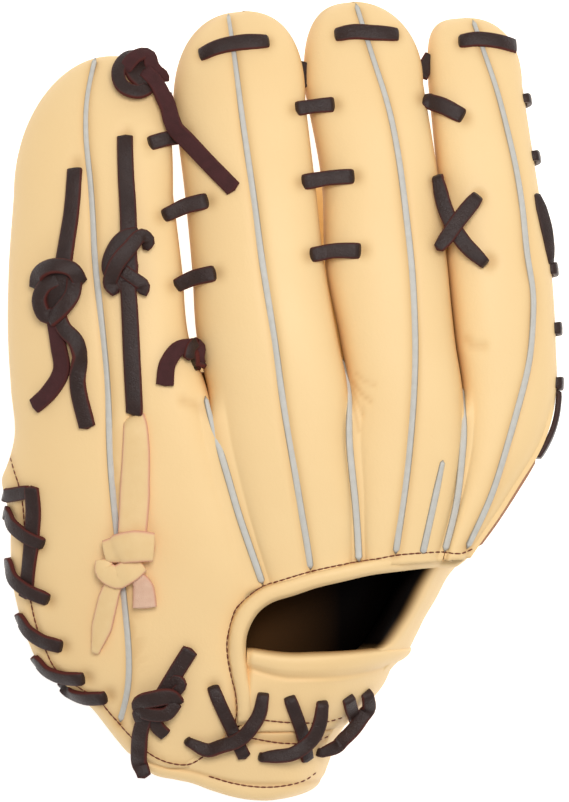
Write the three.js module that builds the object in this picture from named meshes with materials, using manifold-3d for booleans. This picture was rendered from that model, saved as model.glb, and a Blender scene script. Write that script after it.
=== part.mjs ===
// Softball fielder glove for the left hand, lying closed on its thumb side with the finger backs up.
// Millimetres, +Z up, +Y to the fingertips, origin on the floor below the middle of the glove.
import * as THREE from "three";
import { mergeVertices } from "three/addons/utils/BufferGeometryUtils.js";
import Module from "manifold-3d";

const wasm = await Module();
wasm.setup();

// Driving sizes
const GAP = 0.3;
const STALL_WALL = 3;
const BACK_WALL = 3;
const PALM_WALL = 5;
const LINING_WALL = 1.5;
const LACE_WIDTH = 6.2;
const LACE_THICKNESS = 2.4;
const WELT_WIDTH = 2.8;
const WELT_THICKNESS = 1.2;
const CROWN_X = 5;
const HALF_SPAN = 110;
const SIDE_DROP = 18;
const SOFT_CORNER = 2.3;
const FLANGE = 2.5;
const EDGE_DEPTH = 18;
const ROOF = 13;
const CROTCH_Y = 6;
const PALM_END = { y: 12, wristY: -150 };

// Height of the back and depth from the back to the palm, along the glove
const DECK = [
  { y: -164, top: 74, depth: 20, lower: 22, corner: 5 },
  { y: -120, top: 88, depth: 28, lower: 27, corner: 5 },
  { y: -90, top: 96, depth: 33, lower: 30, corner: 5 },
  { y: -60, top: 103, depth: 36, lower: 30, corner: 4.6 },
  { y: -20, top: 110, depth: 36, lower: 30, corner: 3.4 },
  { y: 30, top: 113, depth: 34, lower: 30, corner: 2.5 },
  { y: 80, top: 108, depth: 30, lower: 30, corner: 2.3 },
  { y: 120, top: 98, depth: 26, lower: 30, corner: 2.3 },
  { y: 164, top: 82, depth: 20, lower: 30, corner: 2.3 },
];

// Plan outline of each finger stall: left and right edge in each section, then a round tip
const STALLS = {
  pinky: {
    tip: { x: -69.9, y: 141.5, round: 2 },
    softSides: ["left"],
    rows: [
      { y: -155, left: -42, right: -31.5 },
      { y: -148, left: -57.5, right: -29.5 },
      { y: -133, left: -70.5, right: -19.6 },
      { y: -122, left: -79.5, right: -18 },
      { y: -109, left: -96.5, right: -17 },
      { y: -90, left: -105, right: -17 },
      { y: -76, left: -108.4, right: -8.6 },
      { y: -40, left: -111, right: -20.1 },
      { y: -16, left: -109.5, right: -27.3 },
      { y: 5, left: -110.1, right: -31.4 },
      { y: 24, left: -111.7, right: -38.3 },
      { y: 54, left: -112.1, right: -41.6 },
      { y: 85, left: -110.5, right: -45.4 },
    ],
  },
  ring: {
    tip: { x: -15, y: 159.9, round: 2.3 },
    softSides: [],
    rows: [
      { y: -80, left: -8.4, right: 31.8 },
      { y: -60, left: -13.3, right: 30.7 },
      { y: -40, left: -20.1, right: 29.3 },
      { y: -16, left: -27.3, right: 26.4 },
      { y: 5, left: -31.2, right: 26.3 },
      { y: 25, left: -35.5, right: 22.3 },
      { y: 54, left: -37.6, right: 17 },
      { y: 90, left: -41, right: 12.9 },
      { y: 122.6, left: -44.3, right: 9.6 },
    ],
  },
  middle: {
    tip: { x: 29.3, y: 163.6, round: 2.3 },
    softSides: [],
    rows: [
      { y: -75, left: 31.5, right: 63.5 },
      { y: -60, left: 30.7, right: 66.6 },
      { y: -40, left: 29.3, right: 71.1 },
      { y: -16, left: 26.4, right: 74 },
      { y: 5, left: 26.3, right: 73.4 },
      { y: 25, left: 23, right: 70.3 },
      { y: 54, left: 17.3, right: 67.4 },
      { y: 90, left: 16.2, right: 63.8 },
      { y: 131, left: 9.3, right: 57.6 },
    ],
  },
  index: {
    tip: { x: 74.8, y: 157.4, round: 2.6 },
    softSides: ["right"],
    rows: [
      { y: -64, left: 65.5, right: 75.5 },
      { y: -48, left: 69.3, right: 86.6 },
      { y: -34, left: 72.1, right: 94.6 },
      { y: -20, left: 73.6, right: 104.6 },
      { y: 3, left: 73.6, right: 111.3 },
      { y: 25, left: 70.6, right: 111.4 },
      { y: 54, left: 67.5, right: 109.6 },
      { y: 90, left: 64, right: 103.9 },
      { y: 131, left: 60.7, right: 97.8 },
    ],
  },
  thumb: {
    tip: { x: 20, y: 95, round: 2.2 },
    softSides: ["left", "right"],
    rows: [
      { y: -21.7, left: -46, right: 66 },
      { y: 0, left: -40, right: 68 },
      { y: 30, left: -32, right: 68 },
      { y: 55, left: -26, right: 62 },
    ],
  },
};

// The fold on the right and the thumb side below: right edge, round of the fold, left edge underneath
const CUFF = [
  { y: -162, right: 2, round: 16, under: -24 },
  { y: -158, right: 11, round: 20, under: -30 },
  { y: -147, right: 17, round: 28, under: -40 },
  { y: -132, right: 25.5, round: 36, under: -48 },
  { y: -111, right: 42.4, round: 42, under: -52 },
  { y: -91, right: 55.1, round: 45, under: -52 },
  { y: -68, right: 70.3, round: 45, under: -50 },
  { y: -48, right: 83, round: 45, under: -48 },
  { y: -22, right: 96, round: 45, under: -46 },
  { y: 12, right: 104, round: 45, under: -40 },
];

// Rolled binding round the top and the left of the back opening: outer edge, inner edge
const BINDING = [
  { outerX: 77.2, outerY: -61.2, innerX: 70.3, innerY: -68.3 },
  { outerX: 64.2, outerY: -61.9, innerX: 60.5, innerY: -68.9 },
  { outerX: 46.4, outerY: -63.1, innerX: 47.8, innerY: -70.1 },
  { outerX: 22.5, outerY: -67.2, innerX: 22.5, innerY: -74.2 },
  { outerX: 0.2, outerY: -73, innerX: 4.7, innerY: -79.6 },
  { outerX: -8.6, outerY: -76.1, innerX: -4.1, innerY: -82.4 },
  { outerX: -15.3, outerY: -81, innerX: -9.5, innerY: -86 },
  { outerX: -19.3, outerY: -84.9, innerX: -13, innerY: -91 },
  { outerX: -21.9, outerY: -92.1, innerX: -15.3, innerY: -97 },
  { outerX: -22.8, outerY: -103, innerX: -15.3, innerY: -104 },
  { outerX: -20.8, outerY: -118, innerX: -14.2, innerY: -118 },
  { outerX: -19.6, outerY: -130.6, innerX: -13.5, innerY: -131 },
];

// Right edge of the back opening, where the thumb side begins
const OPENING_RIGHT = [
  { y: -104, x: 36.5 },
  { y: -98.8, x: 42.4 },
  { y: -90.2, x: 47.4 },
  { y: -84, x: 52.1 },
  { y: -76.3, x: 55.1 },
  { y: -63, x: 62 },
];

const STRAP = { top: -103.8, bottom: -135.8, left: -13.2, roll: 5.5, seamAngle: 16 };
const HEEL_BAND = { top: -136.4, bottom: -161.5, left: -30.6, seamAngle: 16 };

// Web between the index stall and the thumb
const WEB = [
  { y: -12, top: 95, foot: 56, bulge: 2 },
  { y: 20, top: 101, foot: 58, bulge: 5 },
  { y: 55, top: 98, foot: 50, bulge: 6 },
  { y: 86, top: 92, foot: 32, bulge: 6 },
];

// A smooth value of one column between the rows of a table
function column(rows, name, key = "y") {
  const places = rows.map((row) => row[key]);
  const values = rows.map((row) => row[name]);
  const curve = new THREE.CubicInterpolant(places, values, 1);
  return (at) => curve.evaluate(THREE.MathUtils.clamp(at, places[0], places.at(-1)))[0];
}

const deckTop = column(DECK, "top");
const deckDepth = column(DECK, "depth");
const lowerHeight = column(DECK, "lower");
const innerCorner = column(DECK, "corner");
const cuffRight = column(CUFF, "right");
const cuffRound = column(CUFF, "round");
const cuffUnder = column(CUFF, "under");
const openingRight = column(OPENING_RIGHT, "x");

// Height of the back's smooth crown over a point of the plan
function deck(x, y) {
  return deckTop(y) - SIDE_DROP * ((x - CROWN_X) / HALF_SPAN) ** 2;
}

// A solid through closed rings of points, one ring after the other, capped at both ends
function loft(rings, capFaces = ladderFaces) {
  const count = rings[0].length;
  const positions = rings.flat().flatMap((point) => [point.x, point.y, point.z]);
  const faces = [];
  for (let ring = 0; ring < rings.length - 1; ring += 1) {
    for (let at = 0; at < count; at += 1) {
      const next = (at + 1) % count;
      const low = ring * count;
      const high = low + count;
      faces.push(low + at, low + next, high + next, low + at, high + next, high + at);
    }
  }
  const last = (rings.length - 1) * count;
  for (const [a, b, c] of capFaces(rings[0])) {
    faces.push(a, c, b);
  }
  for (const [a, b, c] of capFaces(rings.at(-1))) {
    faces.push(last + a, last + b, last + c);
  }
  const geometry = new THREE.BufferGeometry();
  geometry.setAttribute("position", new THREE.Float32BufferAttribute(positions, 3));
  geometry.setIndex(faces);
  return solidOf(geometry);
}

// Triangles over a ring that runs out along one side and back along the other
function ladderFaces(ring) {
  const faces = [];
  for (let low = 0, high = ring.length - 1; low + 1 < high; low += 1, high -= 1) {
    faces.push([low, low + 1, high]);
    if (low + 1 < high - 1) {
      faces.push([low + 1, high - 1, high]);
    }
  }
  return faces;
}

// Triangles over a flat ring of any outline, turned the way the ring runs
function flatFaces(ring) {
  const level = ring.every((point) => Math.abs(point.z - ring[0].z) < 1e-6);
  const flat = ring.map((point) => new THREE.Vector2(point.x, level ? point.y : point.z));
  const turned = THREE.ShapeUtils.isClockWise(flat);
  return THREE.ShapeUtils.triangulateShape(flat, []).map(([a, b, c]) => {
    const area = (flat[b].x - flat[a].x) * (flat[c].y - flat[a].y)
      - (flat[c].x - flat[a].x) * (flat[b].y - flat[a].y);
    return area > 0 === turned ? [a, c, b] : [a, b, c];
  });
}

function solidOf(geometry) {
  const bare = geometry.clone();
  bare.deleteAttribute("normal");
  bare.deleteAttribute("uv");
  const merged = mergeVertices(bare, 1e-4);
  const vertProperties = new Float32Array(merged.attributes.position.array);
  const triVerts = new Uint32Array(merged.index.array);
  if (signedVolume(vertProperties, triVerts) < 0) {
    for (let at = 0; at < triVerts.length; at += 3) {
      [triVerts[at], triVerts[at + 1]] = [triVerts[at + 1], triVerts[at]];
    }
  }
  return new wasm.Manifold(new wasm.Mesh({ numProp: 3, vertProperties, triVerts }));
}

function signedVolume(positions, faces) {
  const corner = (at) => new THREE.Vector3().fromArray(positions, 3 * faces[at]);
  let volume = 0;
  for (let at = 0; at < faces.length; at += 3) {
    volume += corner(at).dot(corner(at + 1).cross(corner(at + 2))) / 6;
  }
  return volume;
}

function geometryOf(solid) {
  const mesh = solid.getMesh();
  const geometry = new THREE.BufferGeometry();
  geometry.setAttribute("position", new THREE.Float32BufferAttribute(mesh.vertProperties, 3));
  geometry.setIndex(Array.from(mesh.triVerts));
  return geometry;
}

// The main body of a cut solid, without the slivers that the cut leaves
function mainBody(solid) {
  const bodies = solid.decompose();
  return bodies.reduce((largest, body) => (body.volume() > largest.volume() ? body : largest));
}

// An upright prism over an outline of the plan
function planPrism(outline, low, high) {
  const ringAt = (z) => outline.map(([x, y]) => new THREE.Vector3(x, y, z));
  return loft([ringAt(low), ringAt(high)], flatFaces);
}

// Size of one stall's section at y: centre, half width, half height and corner powers
const stallColumns = {};
for (const [name, stall] of Object.entries(STALLS)) {
  stallColumns[name] = { left: column(stall.rows, "left"), right: column(stall.rows, "right") };
}

function stallSection(name, y) {
  const { tip, rows, softSides } = STALLS[name];
  const shoulder = rows.at(-1).y;
  const bodyY = Math.min(y, shoulder);
  const left = stallColumns[name].left(bodyY);
  const right = stallColumns[name].right(bodyY);
  const along = THREE.MathUtils.clamp((y - shoulder) / (tip.y - shoulder), 0, 0.9995);
  const shrink = (1 - along ** tip.round) ** (1 / tip.round);
  const corner = innerCorner(y);
  const height = name === "thumb" ? 16.5 : deckDepth(y) / 2;
  return {
    y,
    x: THREE.MathUtils.lerp((left + right) / 2, tip.x, along ** 2),
    half: ((right - left) / 2 - GAP) * shrink,
    height: height * (0.2 + 0.8 * shrink),
    leftPower: softSides.includes("left") ? SOFT_CORNER : corner,
    rightPower: softSides.includes("right") ? SOFT_CORNER : corner,
  };
}

// Height of the line through the middle of a stall's wall, on which its section is drawn
function stallMiddle(name, x, y) {
  return name === "thumb" ? 13.5 : deck(x, y) - deckDepth(y) / 2;
}

// A point on a stall's outside at an angle from its right edge, moved outwards by some distance
function stallPoint(name, section, angle, outwards = 0) {
  const cos = Math.cos(angle);
  const sin = Math.sin(angle);
  const power = 2 / (cos < 0 ? section.leftPower : section.rightPower);
  const half = Math.max(section.half + outwards, 0.5);
  const height = Math.max(section.height + outwards, 0.5);
  const x = section.x + half * Math.sign(cos) * Math.abs(cos) ** power;
  const z = stallMiddle(name, x, section.y) + height * Math.sign(sin) * Math.abs(sin) ** power;
  return new THREE.Vector3(x, section.y, name === "thumb" ? Math.max(z, -Math.min(outwards, 0)) : z);
}

const TIP_ANGLES = [27, 48, 64, 77, 86];

// The places along a stall where its sections are drawn
function stallPlaces(name, start, end) {
  const { tip, rows } = STALLS[name];
  const shoulder = rows.at(-1).y;
  const body = rows.map((row) => row.y).filter((y) => y > start + 2 && y < end - 2);
  const round = TIP_ANGLES.map((degrees) => {
    return shoulder + (tip.y - shoulder) * Math.sin(THREE.MathUtils.degToRad(degrees));
  });
  return [start, ...body, ...round.filter((y) => y < end - 0.5), end];
}

function stallBody(name, start, outwards, sides) {
  const end = STALLS[name].tip.y + (outwards < 0 ? 1.3 * outwards : 0);
  const rings = stallPlaces(name, start, end - 0.02).map((y) => {
    const section = stallSection(name, y);
    return Array.from({ length: sides }, (_, at) => {
      return stallPoint(name, section, (2 * Math.PI * (at + 0.5)) / sides, outwards);
    });
  });
  return loft(rings);
}

// Height of the palm's hand side: it lies under the hand and turns up to the heel's left edge
function palmTop(x, y) {
  const edge = stallColumns.pinky.left(y) - FLANGE;
  const rising = THREE.MathUtils.smoothstep(CROTCH_Y - y, 0, 30);
  const rise = rising * Math.max(deckDepth(y) - EDGE_DEPTH, 0);
  const near = THREE.MathUtils.clamp(1 - (x - edge) / 26, 0, 1);
  return deck(x, y) - deckDepth(y) - 0.5 + rise * near ** 2;
}

// Room for the hand: under the stalls' arches, from the wrist to where the fingers part
function handRoom() {
  const places = [-170, -150, -133, -109, -90, -60, -30, -12, CROTCH_Y];
  const rings = places.map((y) => {
    const left = stallColumns.pinky.left(y) + STALL_WALL + 1;
    const right = y > -62 ? stallColumns.index.right(y) - STALL_WALL - 1 : 100;
    const ramp = THREE.MathUtils.smoothstep(y, -30, CROTCH_Y);
    const roof = THREE.MathUtils.lerp(Math.min(ROOF, deckDepth(y) - 6), deckDepth(y) - 2, ramp);
    const top = Array.from({ length: 5 }, (_, at) => {
      const x = THREE.MathUtils.lerp(right, left, at / 4);
      return new THREE.Vector3(x, y, deck(x, y) - roof);
    });
    return [new THREE.Vector3(left, y, -5), new THREE.Vector3(right, y, -5), ...top];
  });
  return loft(rings);
}

// All that lies under the palm's hand side, a little grown, to trim the stalls where they meet it
function belowPalm() {
  const places = [-170, -150, -133, -122, -109, -90, -60, -30, -10, PALM_END.y];
  const rings = places.map((y) => {
    const edge = stallColumns.pinky.left(y) - FLANGE;
    const top = [120, edge + 60, edge + 26, edge + 17, edge + 8, edge, -130];
    return [
      new THREE.Vector3(-130, y, -5),
      new THREE.Vector3(120, y, -5),
      ...top.map((x) => new THREE.Vector3(x, y, palmTop(x, y) + GAP + 0.1)),
    ];
  });
  return loft(rings, flatFaces);
}

// Plan of all that lies inside the binding's outer edge, down past the heel
function cuffPlan() {
  const edge = BINDING.map((row) => [row.outerX, row.outerY]);
  return [[130, -61.2], ...edge, [-31, -154], [-31, -175], [130, -175]];
}

// A wall of even thickness along a path in each section
function wall(paths, thickness) {
  const rings = paths.map(({ y, path }) => {
    const inner = path.map((point, at) => {
      const before = path[Math.max(at - 1, 0)];
      const after = path[Math.min(at + 1, path.length - 1)];
      const along = after.clone().sub(before).normalize();
      return new THREE.Vector2(point.x + along.y * thickness, point.y - along.x * thickness);
    });
    return [...path, ...inner.reverse()].map((point) => new THREE.Vector3(point.x, y, point.y));
  });
  return loft(rings);
}

// Path of the outside of the fold, from an angle on its upper round to the turned-up edge below
function foldPoint(y, degrees, grow = 0) {
  const round = cuffRound(y);
  const centreX = cuffRight(y) - round;
  const angle = THREE.MathUtils.degToRad(degrees);
  const power = 2 / 2.2;
  const x = centreX + (round + grow) * Math.cos(angle) ** power;
  const middle = 0.46 * deck(centreX, y);
  const up = degrees >= 0 ? deck(x, y) - middle : middle;
  const z = middle + Math.sign(degrees) * (up + grow) * Math.abs(Math.sin(angle)) ** power;
  return new THREE.Vector2(x, Math.max(z, 0));
}

// Angle on the upper round of the fold at which it has a given x
function foldAngle(y, x) {
  const share = THREE.MathUtils.clamp((x - cuffRight(y) + cuffRound(y)) / cuffRound(y), 0, 1);
  return THREE.MathUtils.radToDeg(Math.acos(share ** 1.1));
}

function thumbBackPath(y) {
  const start = y > -62.6 ? 22 : y < -104 ? 30 : foldAngle(y, openingRight(y));
  const path = [];
  for (let at = 0; at <= 4; at += 1) {
    path.push(foldPoint(y, (start * (4 - at)) / 4));
  }
  for (let at = 1; at <= 4; at += 1) {
    path.push(foldPoint(y, (-90 * at) / 4));
  }
  const under = cuffUnder(y);
  const rise = lowerHeight(y) - 3 * GAP;
  for (const degrees of [0, 45, 90]) {
    const angle = THREE.MathUtils.degToRad(degrees);
    const out = 14 * Math.sin(angle);
    path.push(new THREE.Vector2(under + 14 - out, rise * (1 - Math.cos(angle))));
  }
  return path;
}

function thumbBack() {
  const places = [-160, -147, -132, -118, -105, -103.9, -98.8, -90, -80, -63, -62.5, -45, -22];
  return wall(places.map((y) => ({ y, path: thumbBackPath(y) })), BACK_WALL);
}

// Palm: under the hand, round the pocket's fold on the right and back over the thumb side
function palmPath(y, outwards = 0, from = null, to = null) {
  const edge = stallColumns.pinky.left(y) - FLANGE;
  const inset = Math.min(24, 0.8 * cuffRound(y));
  const right = Math.min(cuffRight(y) - inset, 80);
  const round = Math.min(20, 0.6 * cuffRound(y));
  const centre = right - round;
  const start = from ?? edge;
  const path = [];
  for (const share of [0, 0.06, 0.12, 0.18, 0.35, 0.65, 1]) {
    const x = THREE.MathUtils.lerp(start, centre, share);
    path.push(new THREE.Vector2(x, palmTop(x, y) + outwards));
  }
  const top = palmTop(centre, y);
  const low = lowerHeight(y) + GAP;
  for (const degrees of [50, 15, -20, -55, -90]) {
    const angle = THREE.MathUtils.degToRad(degrees);
    const z = (top + low) / 2 + ((top - low) / 2 + outwards) * Math.sin(angle);
    path.push(new THREE.Vector2(centre + (round + outwards) * Math.cos(angle), z));
  }
  const end = to ?? cuffUnder(y) + 1;
  if (to === null) {
    path.push(new THREE.Vector2(end, low));
  }
  return path;
}

function palmShell(grow) {
  const places = [PALM_END.wristY, -133, -122, -109, -90, -60, -30, -10, PALM_END.y];
  return wall(places.map((y) => ({ y, path: palmPath(y, grow) })), PALM_WALL + 2 * grow);
}

function palmLining() {
  const places = [-124, -109, -90, -75, -60, -42];
  return wall(places.map((y) => {
    return { y, path: palmPath(y, 2 * GAP + LINING_WALL, Math.max(-62, stallColumns.pinky.left(y) + 22), 0) };
  }), LINING_WALL);
}

// A band across the back of the wrist: it lies on the crown and bends down over the fold
function bandPath(y, left, seamAngle, grow) {
  const centreX = cuffRight(y) - cuffRound(y);
  const path = [];
  const start = Math.min(left, centreX - 1);
  for (let at = 0; at <= 3; at += 1) {
    const x = THREE.MathUtils.lerp(start, centreX, at / 4);
    path.push(new THREE.Vector2(x, deck(x, y) + grow));
  }
  for (let at = 0; at <= 5; at += 1) {
    path.push(foldPoint(y, THREE.MathUtils.lerp(89, seamAngle, at / 5), grow));
  }
  return path;
}

function wristStrap(grow) {
  const { top, bottom, left, roll, seamAngle } = STRAP;
  const places = [bottom, bottom + 8, -120, top - roll, top];
  const path = (y) => bandPath(y, left - grow, seamAngle - grow, grow);
  const stretched = (y) => (y === top ? y + grow : y === bottom ? y - grow : y);
  return wall(places.map((y) => ({ y: stretched(y), path: path(y) })), BACK_WALL + 2 * grow);
}

function heelBand(grow) {
  const { top, bottom, seamAngle } = HEEL_BAND;
  const places = [bottom, -158, -154, -147, top];
  const left = (y) => (y < -153 ? HEEL_BAND.left : THREE.MathUtils.mapLinear(y, -153, top, -29.5, -20.5));
  const path = (y) => bandPath(y, left(y) - grow, seamAngle - grow, grow);
  const stretched = (y) => (y === top ? y + grow : y === bottom ? y - grow : y);
  return wall(places.map((y) => ({ y: stretched(y), path: path(y) })), BACK_WALL + 2 * grow);
}

// Binding folded over the edge of the opening, a low roll in section
function openingBinding(grow) {
  const rings = BINDING.map((row, at) => {
    const outer = new THREE.Vector2(row.outerX, row.outerY);
    const inner = new THREE.Vector2(row.innerX, row.innerY);
    const across = inner.clone().sub(outer).normalize();
    outer.addScaledVector(across, GAP - grow);
    inner.addScaledVector(across, grow);
    const section = [[0, -3.2, -1], [0, -0.6, 1], [0.3, 1, 1], [0.75, 1, 1], [1, -1, 1], [1, -3.2, -1]];
    return section.map(([share, rise, side]) => {
      const place = outer.clone().lerp(inner, share);
      if (at === 0) {
        place.x -= 0.8;
      }
      const base = cuffHeight(place.x, place.y);
      return new THREE.Vector3(place.x, place.y, base + rise + side * grow);
    });
  });
  return loft(rings);
}

// Height of the outside over a point of the plan: cuff, stalls, or the highest of both
function cuffHeight(x, y) {
  const centreX = cuffRight(y) - cuffRound(y);
  if (x <= centreX) {
    return deck(x, y);
  }
  const share = Math.min((x - centreX) / cuffRound(y), 1);
  const middle = 0.46 * deck(centreX, y);
  return middle + (deck(x, y) - middle) * Math.max(1 - share ** 2.2, 0) ** (1 / 2.2);
}

function stallHeight(name, x, y) {
  const section = stallSection(name, y);
  const share = Math.abs(x - section.x) / section.half;
  if (share >= 1) {
    return -Infinity;
  }
  const power = x < section.x ? section.leftPower : section.rightPower;
  return stallMiddle(name, x, y) + section.height * (1 - share ** power) ** (1 / power);
}

const BACK_STALLS = ["pinky", "ring", "middle", "index"];

function backHeight(x, y) {
  const heights = BACK_STALLS.map((name) => stallHeight(name, x, y));
  const best = Math.max(...heights);
  const inCuff = y < -66 - 0.3 * Math.max(20 - x, 0) && x > -22;
  const betweenFingers = y > CROTCH_Y && best === -Infinity;
  return !betweenFingers && (inCuff || best === -Infinity) ? cuffHeight(x, y) : best;
}

// Heights along a path, carried straight over the gaps where nothing lies below
function overGaps(heights) {
  const known = heights.flatMap((height, at) => (Number.isFinite(height) ? [at] : []));
  return heights.map((height, at) => {
    const before = known.findLast((place) => place <= at) ?? known[0];
    const after = known.find((place) => place >= at) ?? known.at(-1);
    const share = after > before ? (at - before) / (after - before) : 0;
    return THREE.MathUtils.lerp(heights[before], heights[after], share);
  });
}

// Height of the back at a place, or next to it where the place is between two stalls
function nearHeight(x, y) {
  const heights = [0, 3, -3, 6, -6].map((aside) => backHeight(x + aside, y));
  return heights.find((height) => Number.isFinite(height));
}

function backNormal(x, y) {
  const reach = 1.5;
  const slope = (ax, ay) => {
    const rise = (backHeight(x + ax, y + ay) - backHeight(x - ax, y - ay)) / (2 * reach);
    return Number.isFinite(rise) ? THREE.MathUtils.clamp(rise, -1.6, 1.6) : 0;
  };
  return new THREE.Vector3(-slope(reach, 0), -slope(0, reach), 1).normalize();
}

// A flat strip along a path: four-sided, its faces square to the normals given for its points
function strip(points, normals, width, thickness) {
  const tangents = points.map((point, at) => {
    const before = points[Math.max(at - 1, 0)];
    const after = points[Math.min(at + 1, points.length - 1)];
    return after.clone().sub(before).normalize();
  });
  const across = tangents.map((tangent, at) => {
    const side = tangent.clone().cross(normals[at]);
    return side.length() > 0.5 ? side.normalize() : null;
  });
  const known = (at, step) => {
    for (let near = at; near >= 0 && near < across.length; near += step) {
      if (across[near]) {
        return across[near];
      }
    }
    return null;
  };
  const rings = points.map((point, at) => {
    const side = (at < points.length / 2 ? known(at, 1) : known(at, -1)).clone();
    side.addScaledVector(tangents[at], -side.dot(tangents[at])).normalize();
    const up = side.clone().cross(tangents[at]);
    return [[1, 1], [-1, 1], [-1, -1], [1, -1]].map(([a, b]) => {
      return point.clone().addScaledVector(side, (a * width) / 2).addScaledVector(up, (b * thickness) / 2);
    });
  });
  return loft(rings);
}

const STRIP_STEP = 5.5;
const WELT_STEP = 14;

// Path over the back through plan points, taut over the valleys; its ends may dive through the leather
function backPath(plan, options) {
  const { lift = 0, arch = 0, dive = [4, 4], thickness = LACE_THICKNESS, step = STRIP_STEP } = options;
  const route = new THREE.SplineCurve(plan.map(([x, y]) => new THREE.Vector2(x, y)));
  const steps = Math.max(Math.round(route.getLength() / step), 3);
  const stand = GAP + 0.15 + thickness / 2 + lift;
  const places = Array.from({ length: steps + 1 }, (_, at) => route.getPointAt(at / steps));
  const heights = overGaps(places.map((place) => backHeight(place.x, place.y) + stand));
  const points = places.map((place, at) => {
    const share = at / steps;
    const line = dive[0] > 0 && dive[1] > 0
      ? THREE.MathUtils.lerp(heights[0], heights[steps], share)
      : -Infinity;
    const z = Math.max(heights[at], line) + arch * Math.sin(Math.PI * share);
    return new THREE.Vector3(place.x, place.y, z);
  });
  const normals = places.map((place) => backNormal(place.x, place.y));
  const addDive = (end, inner, depth, put) => {
    if (depth > 0) {
      const away = end.clone().sub(inner).setZ(0).normalize();
      const down = new THREE.Vector3(away.x * 0.35, away.y * 0.35, -1).normalize();
      const first = end.clone().addScaledVector(away, 1.6).addScaledVector(down, 1.4);
      const last = first.clone().addScaledVector(down, depth);
      put(first, last);
    }
  };
  addDive(points[0], points[1], dive[0], (first, last) => {
    points.unshift(last, first);
    normals.unshift(normals[0], normals[0]);
  });
  addDive(points.at(-1), points.at(-2), dive[1], (first, last) => {
    points.push(first, last);
    normals.push(normals.at(-1), normals.at(-1));
  });
  return { points, normals };
}

// Path round the side of a stall, from one angle to another, its ends through the leather
function sidePath(name, from, to, steps = 7) {
  const stand = GAP + 0.2 + LACE_THICKNESS / 2;
  const points = [];
  const normals = [];
  for (let at = 0; at <= steps; at += 1) {
    const share = at / steps;
    const y = THREE.MathUtils.lerp(from.y, to.y, share);
    const angle = THREE.MathUtils.degToRad(THREE.MathUtils.lerp(from.angle, to.angle, share));
    const section = stallSection(name, y);
    const place = stallPoint(name, section, angle, stand);
    points.push(place);
    normals.push(place.clone().sub(stallPoint(name, section, angle, stand - 2)).normalize());
  }
  const ends = [[0, 1], [steps, steps - 1]].map(([end, inner]) => {
    const away = points[end].clone().sub(points[inner]).normalize();
    const first = points[end].clone().addScaledVector(away, 1.3).addScaledVector(normals[end], -1.5);
    return [first, first.clone().addScaledVector(normals[end], -4)];
  });
  return {
    points: [ends[0][1], ends[0][0], ...points, ends[1][0], ends[1][1]],
    normals: [normals[0], normals[0], ...normals, normals[steps], normals[steps]],
  };
}

// A rounded lump of a knot, wider and longer than it is high
function lump({ x, y, width, length, height, turn = 0, rise = 0.4 }, grow) {
  const ball = new THREE.SphereGeometry(1, 9, 6);
  ball.scale(width / 2 + grow, length / 2 + grow, height / 2 + grow);
  ball.rotateZ(THREE.MathUtils.degToRad(turn));
  ball.translate(x, y, nearHeight(x, y) + height / 2 + rise);
  return solidOf(ball);
}

// Materials
const leatherMaterial = (name, colour, roughness) => {
  return new THREE.MeshStandardMaterial({ name, color: colour, roughness, metalness: 0 });
};
const MATERIALS = {
  blond: leatherMaterial("blond_leather", 0xf3d6a2, 0.55),
  palm: leatherMaterial("palm_leather", 0xe6be9c, 0.6),
  lace: leatherMaterial("lace_leather", 0x3b2f30, 0.5),
  welt: leatherMaterial("welt_leather", 0xcfcbc2, 0.65),
  lining: leatherMaterial("lining_leather", 0x1d1410, 0.85),
};

const glove = new THREE.Group();
const pieces = new Map();

// Keep a piece's solid with its name and its grown copy, which cuts the room for it out of others
function keep(name, material, solid, grown = null) {
  pieces.set(name, { material, solid, grown });
}

function cut(name, other) {
  const piece = pieces.get(name);
  piece.solid = piece.solid.subtract(other);
}

// Stalls: hollow to the tip, open into the hand's room
const room = handRoom();
const palmSide = belowPalm();
const cuffRoom = planPrism(cuffPlan(), -5, 150);
const STALL_SIDES = { outer: 14, inner: 8 };
const filledStalls = {};
for (const name of BACK_STALLS) {
  const start = STALLS[name].rows[0].y;
  filledStalls[name] = stallBody(name, start - 0.5, GAP, STALL_SIDES.outer);
  const outside = stallBody(name, start, 0, STALL_SIDES.outer);
  const hollow = stallBody(name, start - 2, -STALL_WALL, STALL_SIDES.inner);
  keep(`${name}_stall`, "blond", outside.subtract(hollow).subtract(room).subtract(palmSide).subtract(cuffRoom));
}
const thumbFilled = stallBody("thumb", STALLS.thumb.rows[0].y, GAP, STALL_SIDES.outer);
keep("thumb_stall", "blond", stallBody("thumb", STALLS.thumb.rows[0].y, 0, STALL_SIDES.outer)
  .subtract(stallBody("thumb", STALLS.thumb.rows[0].y - 2, -STALL_WALL, STALL_SIDES.inner)));

// Binding, strap and heel band round the opening, and the thumb side that folds under
keep("opening_binding", "blond", openingBinding(0), openingBinding(GAP));
keep("wrist_strap", "blond", wristStrap(0), wristStrap(GAP));
keep("heel_band", "blond", heelBand(0), heelBand(GAP));
keep("thumb_back", "blond", thumbBack()
  .subtract(filledStalls.index)
  .subtract(pieces.get("wrist_strap").grown)
  .subtract(pieces.get("heel_band").grown)
  .subtract(pieces.get("opening_binding").grown));
for (const name of ["wrist_strap", "heel_band"]) {
  cut(name, pieces.get("opening_binding").grown);
}

// Palm with its lining, and the web
keep("palm_shell", "palm", palmShell(0), palmShell(GAP));
cut("pinky_stall", pieces.get("palm_shell").grown);
keep("palm_lining", "lining", palmLining());

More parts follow.
